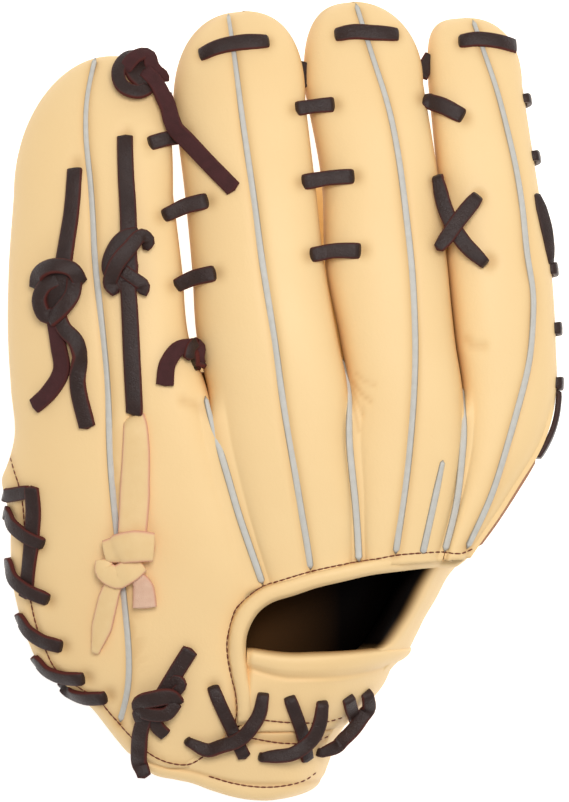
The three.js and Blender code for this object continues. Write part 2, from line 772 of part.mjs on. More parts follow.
function webPanel() {
  const top = column(WEB, "top");
  const foot = column(WEB, "foot");
  const bulge = column(WEB, "bulge");
  const places = [-12, 4, 20, 38, 55, 72, 86];
  return wall(places.map((y) => {
    const highX = top(y);
    const highZ = deck(highX, y) - deckDepth(y) - 0.2;
    const lowX = foot(y);
    const lowZ = 27;
    const path = [];
    for (let at = 0; at <= 7; at += 1) {
      const share = at / 7;
      const out = bulge(y) * Math.sin(Math.PI * share);
      path.push(new THREE.Vector2(
        THREE.MathUtils.lerp(highX, lowX, share ** 1.4) + out,
        THREE.MathUtils.lerp(highZ + 6, lowZ, share),
      ));
    }
    return { y, path };
  }), BACK_WALL);
}
keep("web_panel", "blond", webPanel()
  .subtract(filledStalls.index)
  .subtract(thumbFilled)
  .subtract(pieces.get("palm_shell").grown));

// Welts along the backs of the stalls and in the seams between them
const WELTS = [
  { name: "pinky_welt", plan: [[-79.2, 135], [-81.2, 115], [-79.3, 93], [-76.8, 54], [-73.8, 28.7],
    [-71.3, -10], [-68.4, -52], [-65.8, -77], [-63.5, -106], [-65.5, -127]] },
  { name: "ring_welt", plan: [[-22, 156], [-16.4, 112], [-8.2, 53.7], [0.6, -5.3], [10.6, -66]] },
  { name: "middle_welt", plan: [[30.5, 160], [36.3, 142], [42.2, 123.6], [49.6, 79], [53.3, 36],
    [53, -0.8], [49.2, -40], [46, -61]] },
  { name: "index_welt", plan: [[79.8, 153.5], [86.7, 131.7], [94.9, 97.6], [100.5, 53.7], [101.9, 40],
    [100.1, 14], [91.2, -19.3], [83, -42], [76.5, -57]] },
  { name: "middle_side_seam", plan: [[69.3, -2.5], [62.1, -38], [57.5, -60]] },
];
for (const { name, plan } of WELTS) {
  const shape = (grow) => {
    const { points, normals } = backPath(plan, { dive: [0, 0], thickness: WELT_THICKNESS, step: WELT_STEP });
    return strip(points, normals, WELT_WIDTH + 2 * grow, WELT_THICKNESS + 2 * grow);
  };
  keep(name, "welt", shape(0), shape(GAP));
  for (const stall of BACK_STALLS) {
    cut(`${stall}_stall`, pieces.get(name).grown);
  }
}

// Welts in the seams between neighbouring stalls of the back of the hand
const SEAM_WELTS = [
  { name: "pinky_ring_seam", plan: [[-27.6, -16], [-23.8, -28], [-20.1, -40], [-13.3, -60], [-9.6, -72]] },
  { name: "ring_middle_seam", plan: [[26.3, 5], [26.4, -16], [29.3, -40], [30.7, -63]] },
  { name: "middle_index_seam", plan: [[73.8, -10], [73.4, -22], [71.1, -40], [67.4, -58]] },
];
const SEAM_SINK = { atCrotch: 8, atCuff: 3.2 };
for (const { name, plan } of SEAM_WELTS) {
  const route = new THREE.SplineCurve(plan.map(([x, y]) => new THREE.Vector2(x, y)));
  const points = route.getSpacedPoints(8).map(({ x, y }) => {
    const sink = THREE.MathUtils.mapLinear(y, CROTCH_Y, -65, SEAM_SINK.atCrotch, SEAM_SINK.atCuff);
    return new THREE.Vector3(x, y, deck(x, y) - sink);
  });
  const up = points.map(() => new THREE.Vector3(0, 0, 1));
  const shape = (grow) => strip(points, up, WELT_WIDTH + 2 * grow, WELT_THICKNESS + 2 * grow);
  keep(name, "welt", shape(0), shape(GAP));
  for (const stall of BACK_STALLS) {
    cut(`${stall}_stall`, pieces.get(name).grown);
  }
}

// Fit a lace, knot or strap: it is trimmed by the trim below it and gets its holes in the shells
const SHELLS = ["pinky_stall", "ring_stall", "middle_stall", "index_stall", "opening_binding", "wrist_strap",
  "heel_band", "thumb_back", "palm_shell", "web_panel"];
const below = WELTS.concat(SEAM_WELTS).map((welt) => welt.name);

function fit(name, material, shape) {
  let solid = shape(0);
  for (const other of below) {
    solid = solid.subtract(pieces.get(other).grown);
  }
  const grown = shape(GAP);
  keep(name, material, solid, grown);
  below.push(name);
  for (const shell of SHELLS) {
    cut(shell, grown);
  }
}

function laceStrip(path, grow, width = LACE_WIDTH, thickness = LACE_THICKNESS) {
  return strip(path.points, path.normals, width + 2 * grow, thickness + 2 * grow);
}

function joined(shapes) {
  return shapes.reduce((all, shape) => all.add(shape));
}

// Laces across a fingertip or from stall to stall
const CROSS_LACES = [
  { name: "ring_tip_lace", plan: [[-32, 143], [-20, 146], [-8, 147.3]] },
  { name: "middle_tip_lace", plan: [[23.5, 150.5], [34, 150.9], [45, 150.7]] },
  { name: "index_tip_lace", plan: [[73.5, 147.2], [84, 147.2], [94, 146.2]] },
  { name: "pinky_ring_lace_1", plan: [[-53, 106.3], [-42, 108.6]] },
  { name: "pinky_ring_lace_2", plan: [[-49.5, 76], [-33, 81.2]] },
  { name: "pinky_ring_lace_3", plan: [[-45.5, 47.2], [-30, 51.7]] },
  { name: "ring_middle_lace_1", plan: [[6.5, 119.9], [19.5, 121.3]] },
  { name: "ring_middle_lace_2", plan: [[9, 89.5], [27, 91.5]] },
  { name: "ring_middle_lace_3", plan: [[12.5, 59.6], [30, 61.1]] },
  { name: "middle_index_lace", plan: [[56.5, 123.8], [72.4, 117.2]] },
];
for (const { name, plan } of CROSS_LACES) {
  fit(name, "lace", (grow) => laceStrip(backPath(plan, { arch: 0.6 }), grow));
}

// Crossed lace of the middle and the index stall
fit("index_cross_lace", "lace", (grow) => joined([
  laceStrip(backPath([[62, 88.6], [73, 75], [82.8, 58.8]], {}), grow),
  laceStrip(backPath([[78.6, 82], [72, 73], [66.5, 65.4]], { arch: 1.2 }), grow),
]));

// Knots of the lacing, each with its strand and its cut ends
const KNOTS = {
  pinky_knot: {
    lumps: [{ x: -90.5, y: 46, width: 16, length: 26, height: 9, turn: 15 }],
    strands: [
      { plan: [[-85.4, 94], [-86.5, 75], [-87.9, 55]], dive: [4, 0] },
      { plan: [[-91.5, 38], [-88.8, 20], [-92.5, 7.8], [-100.5, -3]], dive: [0, 0] },
      { plan: [[-88.5, 38], [-83.4, 25], [-82.3, 6.6], [-79.5, -11]], dive: [0, 0] },
    ],
  },
  middle_knot: {
    lumps: [{ x: -62.5, y: 56, width: 15, length: 27, height: 9 }],
    strands: [
      { plan: [[-64.8, 106.5], [-63.8, 88], [-62.5, 56]], dive: [4, 0] },
      { plan: [[-62.5, 47], [-61.5, 20], [-60.6, -5]], dive: [0, 0], width: 7.2 },
    ],
  },
  heel_knot: {
    lumps: [{ x: -50.7, y: -126, width: 15, length: 13, height: 9 }],
    strands: [
      { plan: [[-39.2, -100], [-44.5, -111], [-50, -122]], dive: [0, 0] },
      { plan: [[-55, -128], [-58.3, -138], [-58.2, -144]], dive: [0, 0] },
      { plan: [[-52, -129], [-48.8, -137]], dive: [0, 0] },
    ],
  },
  tip_knot: {
    lumps: [{ x: -60.5, y: 131, width: 15, length: 15, height: 8 }],
    strands: [{ plan: [[-56, 128], [-45, 117], [-33, 102], [-20, 86]], dive: [0, 0] }],
  },
  crotch_knot: {
    lumps: [{ x: -37, y: 18.5, width: 11, length: 11, height: 7, rise: 0.5 }],
    strands: [{ plan: [[-40, 20], [-46.5, 15], [-48, 6.5]], dive: [0, 0] }],
  },
};
for (const [name, { lumps, strands }] of Object.entries(KNOTS)) {
  fit(name, "lace", (grow) => joined([
    ...lumps.map((size) => lump(size, grow)),
    ...strands.map(({ plan, dive, width }) => {
      return laceStrip(backPath(plan, { dive }), grow, width);
    }),
  ]));
}

// Loop strap of the small finger, tied in a flat knot with a flap and a long end
const LOOP = { width: 11, flapWidth: 8, tailWidth: 6, thickness: 2 };
fit("pinky_loop", "palm", (grow) => {
  const bend = (plan, dive) => backPath(plan, { dive, thickness: LOOP.thickness, lift: 0.4 });
  return joined([
    laceStrip(bend([[-60.9, -11], [-61.7, -30], [-61.7, -54]], [3, 0]), grow, LOOP.width, LOOP.thickness),
    lump({ x: -62, y: -59, width: 20, length: 15, height: 8, rise: 0 }, grow),
    lump({ x: -67, y: -68.5, width: 12, length: 15, height: 8, rise: 0 }, grow),
    laceStrip(bend([[-59, -64], [-57.2, -74], [-57.5, -83]], [0, 0]), grow, LOOP.flapWidth, LOOP.thickness),
    laceStrip(bend([[-68, -68], [-72, -84], [-76.4, -103]], [0, 0]), grow, LOOP.tailWidth, LOOP.thickness),
  ]);
});

// Whip lacing of the heel's left edge: out of the back, over the flange and in under it
const EDGE_LACES = [
  { name: "edge_lace_1", holeY: -37, holeAngle: 128, edgeY: -38 },
  { name: "edge_lace_2", holeY: -59.5, holeAngle: 142, edgeY: -47 },
  { name: "edge_lace_3", holeY: -81, holeAngle: 145, edgeY: -69 },
  { name: "edge_lace_4", holeY: -100, holeAngle: 140, edgeY: -91 },
  { name: "edge_lace_5", holeY: -113, holeAngle: 134, edgeY: -107 },
  { name: "edge_lace_6", holeY: -121, holeAngle: 126, edgeY: -118 },
];
const EDGE_TUCK = 5;

function edgePath({ holeY, holeAngle, edgeY }) {
  const stand = GAP + 0.2 + LACE_THICKNESS / 2;
  const points = [];
  const normals = [];
  for (let at = 0; at <= 4; at += 1) {
    const y = THREE.MathUtils.lerp(holeY, edgeY, at / 5);
    const angle = THREE.MathUtils.degToRad(THREE.MathUtils.lerp(holeAngle, 168, at / 4));
    const section = stallSection("pinky", y);
    const place = stallPoint("pinky", section, angle, stand);
    points.push(place);
    normals.push(place.clone().sub(stallPoint("pinky", section, angle, stand - 2)).normalize());
  }
  const hole = points[0].clone().add(new THREE.Vector3(1.6, -0.4, -1.4));
  points.unshift(hole.clone().addScaledVector(normals[0], -4), hole);
  normals.unshift(normals[0], normals[0]);
  const edge = stallColumns.pinky.left(edgeY) - FLANGE - stand;
  const level = palmTop(edge, edgeY);
  const outward = new THREE.Vector3(-1, 0, 0);
  points.push(new THREE.Vector3(edge, edgeY + 0.5, level - 1));
  points.push(new THREE.Vector3(edge, edgeY + 1, level - PALM_WALL + 1));
  points.push(new THREE.Vector3(edge + 1.5, edgeY + 1.5, level - PALM_WALL - stand - 0.3));
  points.push(new THREE.Vector3(edge + 1.5 + EDGE_TUCK, edgeY + 2, level - PALM_WALL - stand - 0.8));
  normals.push(outward, outward, new THREE.Vector3(-0.7, 0, -0.7), new THREE.Vector3(0, 0, -1));
  return { points, normals };
}
for (const row of EDGE_LACES) {
  fit(row.name, "lace", (grow) => laceStrip(edgePath(row), grow));
}

// Crossed laces that hold the strap to the heel band
const STRAP_LACES = [
  { under: [[-27, -120.5], [-22, -131], [-18.4, -142.5]],
    over: [[-9.5, -123.5], [-12.5, -132.3], [-21.9, -141], [-30, -144.4], [-36, -141.8]] },
  { under: [[3.7, -125], [6.7, -137.8], [9.2, -146.5]],
    over: [[14.7, -126.5], [11.1, -137.8], [2.3, -145.8], [-6.6, -147]] },
  { under: [[26.5, -124.5], [27.8, -136]],
    over: [[33.6, -123.6], [33.8, -130], [27, -139.5], [16.5, -145.4]], dive: [0, 0] },
];
STRAP_LACES.forEach(({ under, over, dive = [4, 4] }, at) => {
  fit(`strap_lace_${at + 1}`, "lace", (grow) => joined([
    laceStrip(backPath(under, { lift: 2.2, dive }), grow, 5.6),
    laceStrip(backPath(over, { lift: 1.5, arch: 0, dive }), grow, 5.6),
  ]));
});

// Laces round the index stall's right side, which hold the web
const WEB_LACES = [
  { from: { y: 125, angle: 22 }, to: { y: 123, angle: -30 } },
  { from: { y: 101, angle: 26 }, to: { y: 99, angle: -30 } },
  { from: { y: 83, angle: 18 }, to: { y: 60, angle: 8 } },
  { from: { y: 54, angle: 24 }, to: { y: 53, angle: -30 } },
  { from: { y: 30, angle: 24 }, to: { y: 29, angle: -30 } },
  { from: { y: 7.5, angle: 26 }, to: { y: 6.5, angle: -30 } },
  { from: { y: -1.5, angle: 8 }, to: { y: -20, angle: 24 } },
];
WEB_LACES.forEach(({ from, to }, at) => {
  fit(`web_lace_${at + 1}`, "lace", (grow) => laceStrip(sidePath("index", from, to), grow, 5.6));
});

// Every mesh of the glove
for (const [name, { material, solid }] of pieces) {
  const mesh = new THREE.Mesh(geometryOf(mainBody(solid)), MATERIALS[material]);
  mesh.name = name;
  glove.add(mesh);
}

export default glove;
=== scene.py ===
import bmesh
import bpy
import numpy as np
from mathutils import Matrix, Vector
from mathutils.bvhtree import BVHTree


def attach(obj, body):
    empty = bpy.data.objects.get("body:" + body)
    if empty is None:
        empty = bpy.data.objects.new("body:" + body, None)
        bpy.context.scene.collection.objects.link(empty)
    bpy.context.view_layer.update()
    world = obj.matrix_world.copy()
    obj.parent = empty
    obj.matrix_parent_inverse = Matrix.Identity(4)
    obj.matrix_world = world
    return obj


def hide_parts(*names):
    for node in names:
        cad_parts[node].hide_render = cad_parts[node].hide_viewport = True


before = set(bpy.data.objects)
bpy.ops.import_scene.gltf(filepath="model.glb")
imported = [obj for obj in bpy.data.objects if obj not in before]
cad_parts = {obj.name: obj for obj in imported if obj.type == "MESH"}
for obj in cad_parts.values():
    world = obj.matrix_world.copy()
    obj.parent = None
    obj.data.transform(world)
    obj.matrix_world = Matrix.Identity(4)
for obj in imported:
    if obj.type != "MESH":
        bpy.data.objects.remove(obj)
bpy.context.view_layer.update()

# Camera, floor and light
# The glove lies on white studio paper and is seen from straight above through a long lens. A panel over the
# fingers gives the relief, and two wide, weak ones at the right and at the heel soften its shadows.
FRAME_HEIGHT = 0.3288
LENS_MM = 250
SENSOR_MM = 36
BACK_HEIGHT = 0.095
PHOTO_CENTRE_X = 0.0004
SIGHT_END = 20
FLOOR_HALF = 6
FLOOR_GLOW = 0.7
WORLD_LIGHT = 0.4
PANELS = [
    {"name": "overhead", "place": (0.08, 0.3, 1.3), "size": 0.45, "watts": 9.5},
    {"name": "right_side", "place": (1.0, 0.1, 1.2), "size": 1.0, "watts": 1.6},
    {"name": "heel_side", "place": (-0.2, -1.3, 1.0), "size": 1.0, "watts": 1.5},
]


def linear(hex_colour):
    """An sRGB hex colour as linear values"""
    channels = [int(hex_colour[at:at + 2], 16) / 255 for at in (1, 3, 5)]
    return [c / 12.92 if c <= 0.04045 else ((c + 0.055) / 1.055) ** 2.4 for c in channels] + [1]


def add_node(tree, kind, inputs=None, **settings):
    """Add a node with its settings, its fixed inputs and its links"""
    made = tree.nodes.new(kind)
    for name, value in settings.items():
        setattr(made, name, value)
    for socket, value in (inputs or {}).items():
        if isinstance(value, bpy.types.NodeSocket):
            tree.links.new(value, made.inputs[socket])
        else:
            made.inputs[socket].default_value = value
    return made


def new_material(name):
    material = bpy.data.materials.new(name)
    material.use_nodes = True
    shader = material.node_tree.nodes["Principled BSDF"]
    return material, material.node_tree, shader


camera_data = bpy.data.cameras.new("camera")
camera_data.lens = LENS_MM
camera_data.sensor_width = SENSOR_MM
camera_data.clip_end = SIGHT_END
camera = bpy.data.objects.new("camera", camera_data)
camera.location = (PHOTO_CENTRE_X, 0, FRAME_HEIGHT * LENS_MM / SENSOR_MM + BACK_HEIGHT)
bpy.context.collection.objects.link(camera)
bpy.context.scene.camera = camera
bpy.context.scene.view_settings.view_transform = "Standard"

floor_mesh = bpy.data.meshes.new("floor")
shape = bmesh.new()
bmesh.ops.create_grid(shape, x_segments=1, y_segments=1, size=FLOOR_HALF)
shape.to_mesh(floor_mesh)
shape.free()
floor = bpy.data.objects.new("floor", floor_mesh)
bpy.context.collection.objects.link(floor)
# White background paper: quite matt, and it glows a little, so that the ground is as white as in the photo
paper, _, paper_shader = new_material("white_paper")
paper_shader.inputs["Base Color"].default_value = linear("#FBFBFA")
paper_shader.inputs["Roughness"].default_value = 0.9
paper_shader.inputs["Emission Color"].default_value = linear("#FFFFFF")
paper_shader.inputs["Emission Strength"].default_value = FLOOR_GLOW
floor_mesh.materials.append(paper)

world = bpy.data.worlds.new("studio")
world.use_nodes = True
bpy.context.scene.world = world
world.node_tree.nodes["Background"].inputs["Color"].default_value = linear("#FFFFFF")
world.node_tree.nodes["Background"].inputs["Strength"].default_value = WORLD_LIGHT

for row in PANELS:
    panel = bpy.data.lights.new(row["name"], "AREA")
    panel.size = row["size"]
    panel.energy = row["watts"]
    holder = bpy.data.objects.new(row["name"], panel)
    holder.location = row["place"]
    holder.rotation_euler = Vector(row["place"]).to_track_quat("Z", "Y").to_euler()
    bpy.context.collection.objects.link(holder)

# Blond leather
# The hide of the whole glove is full-grain steerhide, vegetable tanned and left undyed. It is cut in panels,
# sewn inside out and turned, and it keeps its grain side outside. A thin dark hide lines the hand's room.
MM = 0.001
PORE = {"apart": 0.9, "strength": 0.5}
CREASE = {"apart": 7, "depth": 0.35, "strength": 0.35}
TONE_MM = 60
# Painted shade inside the opening: hide marked as inside runs from dark brown at the left to near black
# further right, where less light gets in
INSIDE_SHADE = {"near_x": -14, "near": "#4A3018", "deep_x": 24, "deep": "#080504"}
# Specular level of the hide outside, and a much lower one on hide painted dark inside the opening, so that no
# highlight shows on that painted shade
SHEEN = {"outside": 0.25, "inside": 0.03}


def leather(name, colours, roughness, pore_depth_mm):
    """Tanned hide: a broad drift of tone, painted shade in a deeper, warmer tone where it is hollow, and
    painted dark inside the opening
    """
    material, tree, shader = new_material(name)
    place = add_node(tree, "ShaderNodeTexCoord").outputs["Object"]
    tone = add_node(tree, "ShaderNodeTexNoise", {"Vector": place, "Scale": 1 / (TONE_MM * MM), "Detail": 3})
    hollow = add_node(tree, "ShaderNodeAttribute", attribute_name="hollow").outputs["Fac"]
    inside = add_node(tree, "ShaderNodeAttribute", attribute_name="inside").outputs["Fac"]
    across = add_node(tree, "ShaderNodeSeparateXYZ", {0: place}).outputs[0]
    depth = add_node(tree, "ShaderNodeMapRange", {"Value": across, "From Min": INSIDE_SHADE["near_x"] * MM,
                                                  "From Max": INSIDE_SHADE["deep_x"] * MM})
    skin = add_node(tree, "ShaderNodeMix", {0: tone.outputs["Fac"], 6: linear(colours["light"]),
                                            7: linear(colours["dark"])}, data_type="RGBA")
    # Painted shade: grooves, creases, folds and the flanks between stalls turn to a deeper, warmer tone
    shaded_tone = add_node(tree, "ShaderNodeMix", {0: hollow, 6: skin.outputs[2], 7: linear(colours["hollow"])},
                    data_type="RGBA")
    # Painted shade inside the opening: a ramp across x from dark brown to near black takes the place of the
    # hide's colour
    inside_shade_colour = add_node(tree, "ShaderNodeMix", {0: depth.outputs[0], 6: linear(INSIDE_SHADE["near"]),
                                            7: linear(INSIDE_SHADE["deep"])}, data_type="RGBA")
    shown = add_node(tree, "ShaderNodeMix", {0: inside, 6: shaded_tone.outputs[2], 7: inside_shade_colour.outputs[2]},
                     data_type="RGBA")
    sheen = add_node(tree, "ShaderNodeMapRange", {"Value": inside, "To Min": SHEEN["outside"],
                                                  "To Max": SHEEN["inside"]})
    pores = add_node(tree, "ShaderNodeTexVoronoi", {"Vector": place, "Scale": 1 / (PORE["apart"] * MM)})
    creases = add_node(tree, "ShaderNodeTexNoise", {"Vector": place, "Scale": 1 / (CREASE["apart"] * MM),
                                                    "Detail": 4, "Distortion": 0.6})
    low = add_node(tree, "ShaderNodeBump", {"Height": creases.outputs["Fac"],
                                            "Distance": CREASE["depth"] * MM, "Strength": CREASE["strength"]})
    fine = add_node(tree, "ShaderNodeBump", {"Height": pores.outputs["Distance"],
                                             "Normal": low.outputs["Normal"],
                                             "Distance": pore_depth_mm * MM, "Strength": PORE["strength"]})
    tree.links.new(shown.outputs[2], shader.inputs["Base Color"])
    tree.links.new(sheen.outputs[0], shader.inputs["Specular IOR Level"])
    tree.links.new(fine.outputs["Normal"], shader.inputs["Normal"])
    shader.inputs["Roughness"].default_value = roughness
    shader.inputs["IOR"].default_value = 1.48
    return material


# Blond steerhide: pale straw with a low waxy sheen, and a deeper honey tone painted in as shade where a seam
# or fold keeps the light out. Real pores lie about 0.2 mm apart, too fine to show, so they are drawn at 0.9
# mm.
BLOND = {"light": "#F9D9A2", "dark": "#F3CD93", "hollow": "#CB985B"}
blond = leather("tanned_blond_leather", BLOND, 0.5, 0.06)
# Dyed lining hide: nearly black brown and matt, partly its own colour and partly painted shade so that the
# opening reads as deep, with a still darker painted shade in its hollows
LINING = {"light": "#3A2413", "dark": "#140C07", "hollow": "#0A0604"}
lining = leather("dark_lining_leather", LINING, 0.85, 0.2)

# Finger stalls
# Each stall is a padded tube of blond leather for one finger, which opens into an arch over the hand towards
# the wrist. It is sewn from two panels along a welt in a shallow groove, and laps over its left neighbour a
# little. All tables are in millimetres, x to the right and y to the fingertips.
DECK = {
    "y": (-164, -120, -90, -60, -20, 30, 80, 120, 164),
    "top": (74, 88, 96, 103, 110, 113, 108, 98, 82),
    "depth": (20, 28, 33, 36, 36, 34, 30, 26, 20),
    "lower": (22, 27, 30, 30, 30, 30, 30, 30, 30),
    "corner": (4.2, 4.2, 4.2, 4, 3.2, 2.5, 2.3, 2.3, 2.3),
}
CROWN_X, HALF_SPAN, SIDE_DROP = 5, 110, 18
SOFT_CORNER = 2.3
LEATHER_MM = 2.4
STALLS = {
    "pinky": {
        "tip": (-71, 143), "round": 2.25, "soft": "left",
        "y": (-151.8, -150, -147.5, -142, -135, -128, -120, -109, -100, -90, -76, -60, -48, -40, -32, -26,
              -16, 5, 24, 54, 85),
        "left": (-52, -58, -63, -68.5, -74, -79.6, -89, -101.8, -106.4, -109.6, -112.6, -113.4, -113.4,
                 -115.6, -116.8, -114.4, -111.6, -112.8, -113.9, -113.7, -111.7),
        "right": (-37, -34, -30.5, -26, -19, -17, -17, -17, -17, -16, -8.6, -13.3, -17.4, -20.1, -22.6, -24.3,
                  -27.3, -31.4, -38.3, -41.6, -45.4),
        "welt_y": (-133, -121, -106, -88, -77, -52, -40, -20, 3, 29, 44, 54, 75, 93, 108, 123, 142.4),
        "welt_x": (-67.6, -64.4, -63.5, -64.8, -65.8, -68.4, -69.7, -71.1, -71.5, -73.8, -75.6, -76.8, -77.9,
                   -79.3, -81.2, -81.2, -77.8),
    },
    "ring": {
        "tip": (-17, 161.3), "round": 2.35, "soft": "",
        "y": (-82, -60, -40, -16, 5, 25, 54, 90, 122.6),
        "left": (-6, -13.3, -20.1, -27.3, -31.2, -35.5, -37.6, -41.2, -45.6),
        "right": (31.8, 30.7, 29.3, 26.4, 26.3, 22.3, 17, 12.9, 9),
        "welt_y": (-69.3, -40, -5.3, 25, 53.7, 82.4, 112.3, 142, 160.2),
        "welt_x": (11.3, 6.6, 0.6, -3.5, -8.2, -11.9, -16.4, -20.1, -22.8),
    },
    "middle": {
        "tip": (28.4, 165.2), "round": 2.35, "soft": "",
        "y": (-72, -60, -40, -16, 5, 25, 54, 90, 131),
        "left": (31.3, 30.7, 29.3, 26.4, 26.3, 23, 17.3, 15.6, 8.2),
        "right": (63.5, 66.6, 71.1, 74, 73.4, 70.3, 67.4, 63.8, 57.6),
        "welt_y": (-62.9, -40.2, -15.6, -0.8, 21.4, 36.3, 53.7, 79.1, 102.9, 123.6, 142.3, 154.8, 164.4),
        "welt_x": (45.7, 49.2, 51.9, 53, 53.7, 53.3, 52.3, 49.6, 46.5, 42.2, 36.3, 32.6, 29.9),
    },
    "index": {
        "tip": (74.6, 158.9), "round": 2.8, "soft": "right",
        "y": (-66, -60.7, -48, -34, -20, 3, 25, 54, 90, 131),
        "left": (65.5, 66.6, 69.3, 72.1, 73.6, 73.6, 70.6, 67.5, 63.6, 59.8),
        "right": (75.8, 79.4, 88.4, 97.2, 105.8, 112.3, 112.2, 110.4, 104.8, 98.8),
        "welt_y": (-60.7, -40.2, -19.3, -0.8, 14, 32.6, 47.6, 53.7, 79.1, 97.6, 114, 131.7, 145.1, 154.8,
                   157.8),
        "welt_x": (74.8, 84.5, 91.2, 96.4, 100.1, 101.9, 101.9, 100.5, 97.8, 94.9, 91.2, 86.7, 82.2, 79.3,
                   78.2),
    },
}
SHINGLE = {"rise": 3.2, "from_y": -75, "full_y": 0}
GROOVE = {"depth": 1.7, "width": 2.1, "run_in": 4, "tip_end": 5, "shade": 0.6}
TUBE = {"open_y": -14, "closed_y": 9, "lap": 8, "spread": 1.35}
SEWN = {"cuff_sink": 3.2, "cuff_y": -65, "crotch_sink": 6.5, "crotch_y": 6, "full_y": -8, "none_y": 8,
        "corner_y": -78}
CUFF_TURN = 1.2
BACK_ANGLE, OUTSIDE_ANGLE = 90, 100
SWELL = {"height": 0.3, "x": (9.5, -26), "y": (14, 21)}
# Painted shade on the stalls' flanks: deeper on the left flank, which the neighbour on its left laps over,
# and lighter on the right flank that faces the next stall
VALLEY_SHADE = {"lapped": (38, 84, 0.45), "facing": (62, 88, 0.3)}
THIN_TIP = {"reach": 4, "share": 0.03}
CUFF_LINE = {
    "x": (-18, -12, -6, 2, 12, 22.5, 36, 47, 60.5, 74),
    "y": (-92, -86, -81, -77.5, -73.5, -71, -68.5, -67, -66, -64.5),
}
HEEL_SEAM = ((-113, -23), (-111.8, -27), (-108.9, -35.7), (-106.5, -60), (-104.6, -83.2), (-101.9, -94.7),
             (-98.4, -103.7), (-95.3, -110), (-86, -118), (-76.9, -123.4), (-71.5, -129.7), (-62.5, -139.6),
             (-55.6, -145.8), (-48.3, -149.4), (-39.3, -150.3), (-31.8, -146.2))
# Creases and seams pressed into the back, each with painted shade along its line
PRESSES = [
    {"line": HEEL_SEAM, "depth": 0.8, "width": 1.6, "shade": 0.35},
    {"line": ((28, 5), (30.4, -1), (32.2, -6)), "depth": 0.5, "width": 0.9, "shade": 0.3},
    {"line": ((28.4, 7.5), (31.6, 3), (35.4, 0)), "depth": 0.5, "width": 0.9, "shade": 0.3},
    {"line": ((28, 1), (29.6, -6), (30.8, -12)), "depth": 0.5, "width": 0.9, "shade": 0.3},
    {"line": ((29.6, 11), (33, 8), (37, 6.5)), "depth": 0.4, "width": 0.9, "shade": 0.2},
    {"line": ((74.8, 25), (77, 22.6), (81.5, 22.2)), "depth": 0.9, "width": 2, "shade": 0.25},
    {"line": ((-30, -6), (-35, -2), (-41, 0)), "depth": 0.7, "width": 2.2, "shade": 0.3},
    {"line": ((-58, -12), (-61, -30), (-61, -54)), "depth": 0.5, "width": 5, "shade": 0.1},
]
LACE_HOLES = [
    (-33.6, 142.6), (-7, 147.6), (22.4, 150.7), (46.2, 150.8), (73.2, 148), (-54.4, 105.9), (-40.8, 108.9),
    (-49.6, 75.6), (-30.6, 81.8), (-44.6, 47.2), (-27.5, 52), (4.9, 119.7), (21.1, 121.5), (7.6, 89.3),
    (29.2, 91.7), (10.9, 59.4), (31.8, 61.3), (57.2, 124), (74.2, 116.6), (63.4, 89.8), (84.2, 57),
    (79.8, 83.4), (64.6, 63.6), (-85.2, 96.6), (-64.9, 108.8), (-28.8, -118), (-100.6, -59.8), (-96.6, -82.6),
    (-90.8, -101.4), (-81, -114.2), (-71.6, -121.4), (-60.8, -6.8),
]
# Lace holes sink into the hide, with painted shade round them
HOLE = {"depth": 1.9, "width": 3.0, "shade": 0.5}
MARKS = ("hollow", "edge", "inside")
TOP_COLUMNS, UNDER_COLUMNS, BODY_ROWS, TIP_ROWS = 44, 12, 120, 26


def column(table, name, at, along="y"):
    """A smooth value of one column of a table, between its rows"""
    places, values = np.array(table[along], float), np.array(table[name], float)
    slopes = np.gradient(values, places)
    at = np.clip(at, places[0], places[-1])
    row = np.clip(np.searchsorted(places, at) - 1, 0, len(places) - 2)
    span = places[row + 1] - places[row]
    t = (at - places[row]) / span
    return ((1 + 2 * t) * (1 - t) ** 2 * values[row] + t * (1 - t) ** 2 * span * slopes[row]
            + t * t * (3 - 2 * t) * values[row + 1] + t * t * (t - 1) * span * slopes[row + 1])


def deck(x, y):
    """Height of the glove's back, which falls off to both sides"""
    return column(DECK, "top", y) - SIDE_DROP * ((x - CROWN_X) / HALF_SPAN) ** 2


def smoothstep(value, low, high):
    """0 below low, 1 above high, and a smooth step between them"""
    share = np.clip((value - low) / (high - low), 0, 1)
    return share * share * (3 - 2 * share)


def add_grid(shape, columns, rows, place, weld=0.02):
    """Add a grid whose points a function puts in place, from their column and row, 0 to 1"""
    for mark in MARKS:
        if mark not in shape.verts.layers.float.keys():
            shape.verts.layers.float.new(mark)
    layers = {mark: shape.verts.layers.float[mark] for mark in MARKS}
    made = bmesh.ops.create_grid(shape, x_segments=columns, y_segments=rows, size=0.5)["verts"]
    flat = np.array([vert.co[:2] for vert in made]) + 0.5
    points, marks = place(flat[:, 0], flat[:, 1])
    for vert, point in zip(made, points * MM):
        vert.co = point
    for mark, values in marks.items():
        for vert, value in zip(made, values):
            vert[layers[mark]] = value
    bmesh.ops.remove_doubles(shape, verts=made, dist=weld * MM)


def finish_mesh(name, shape, materials, nodes=()):
    """Turn the normals out and make the named piece, which replaces its plain solids"""
    bmesh.ops.dissolve_degenerate(shape, edges=shape.edges, dist=0.01 * MM)
    bmesh.ops.recalc_face_normals(shape, faces=shape.faces)
    for face in shape.faces:
        face.smooth = True
    mesh = bpy.data.meshes.new(name)
    shape.to_mesh(mesh)
    shape.free()
    for material in materials:
        mesh.materials.append(material)
    piece = bpy.data.objects.new(name, mesh)
    bpy.context.collection.objects.link(piece)
    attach(piece, "root")
    for node in nodes:
        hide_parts(node)
    return piece


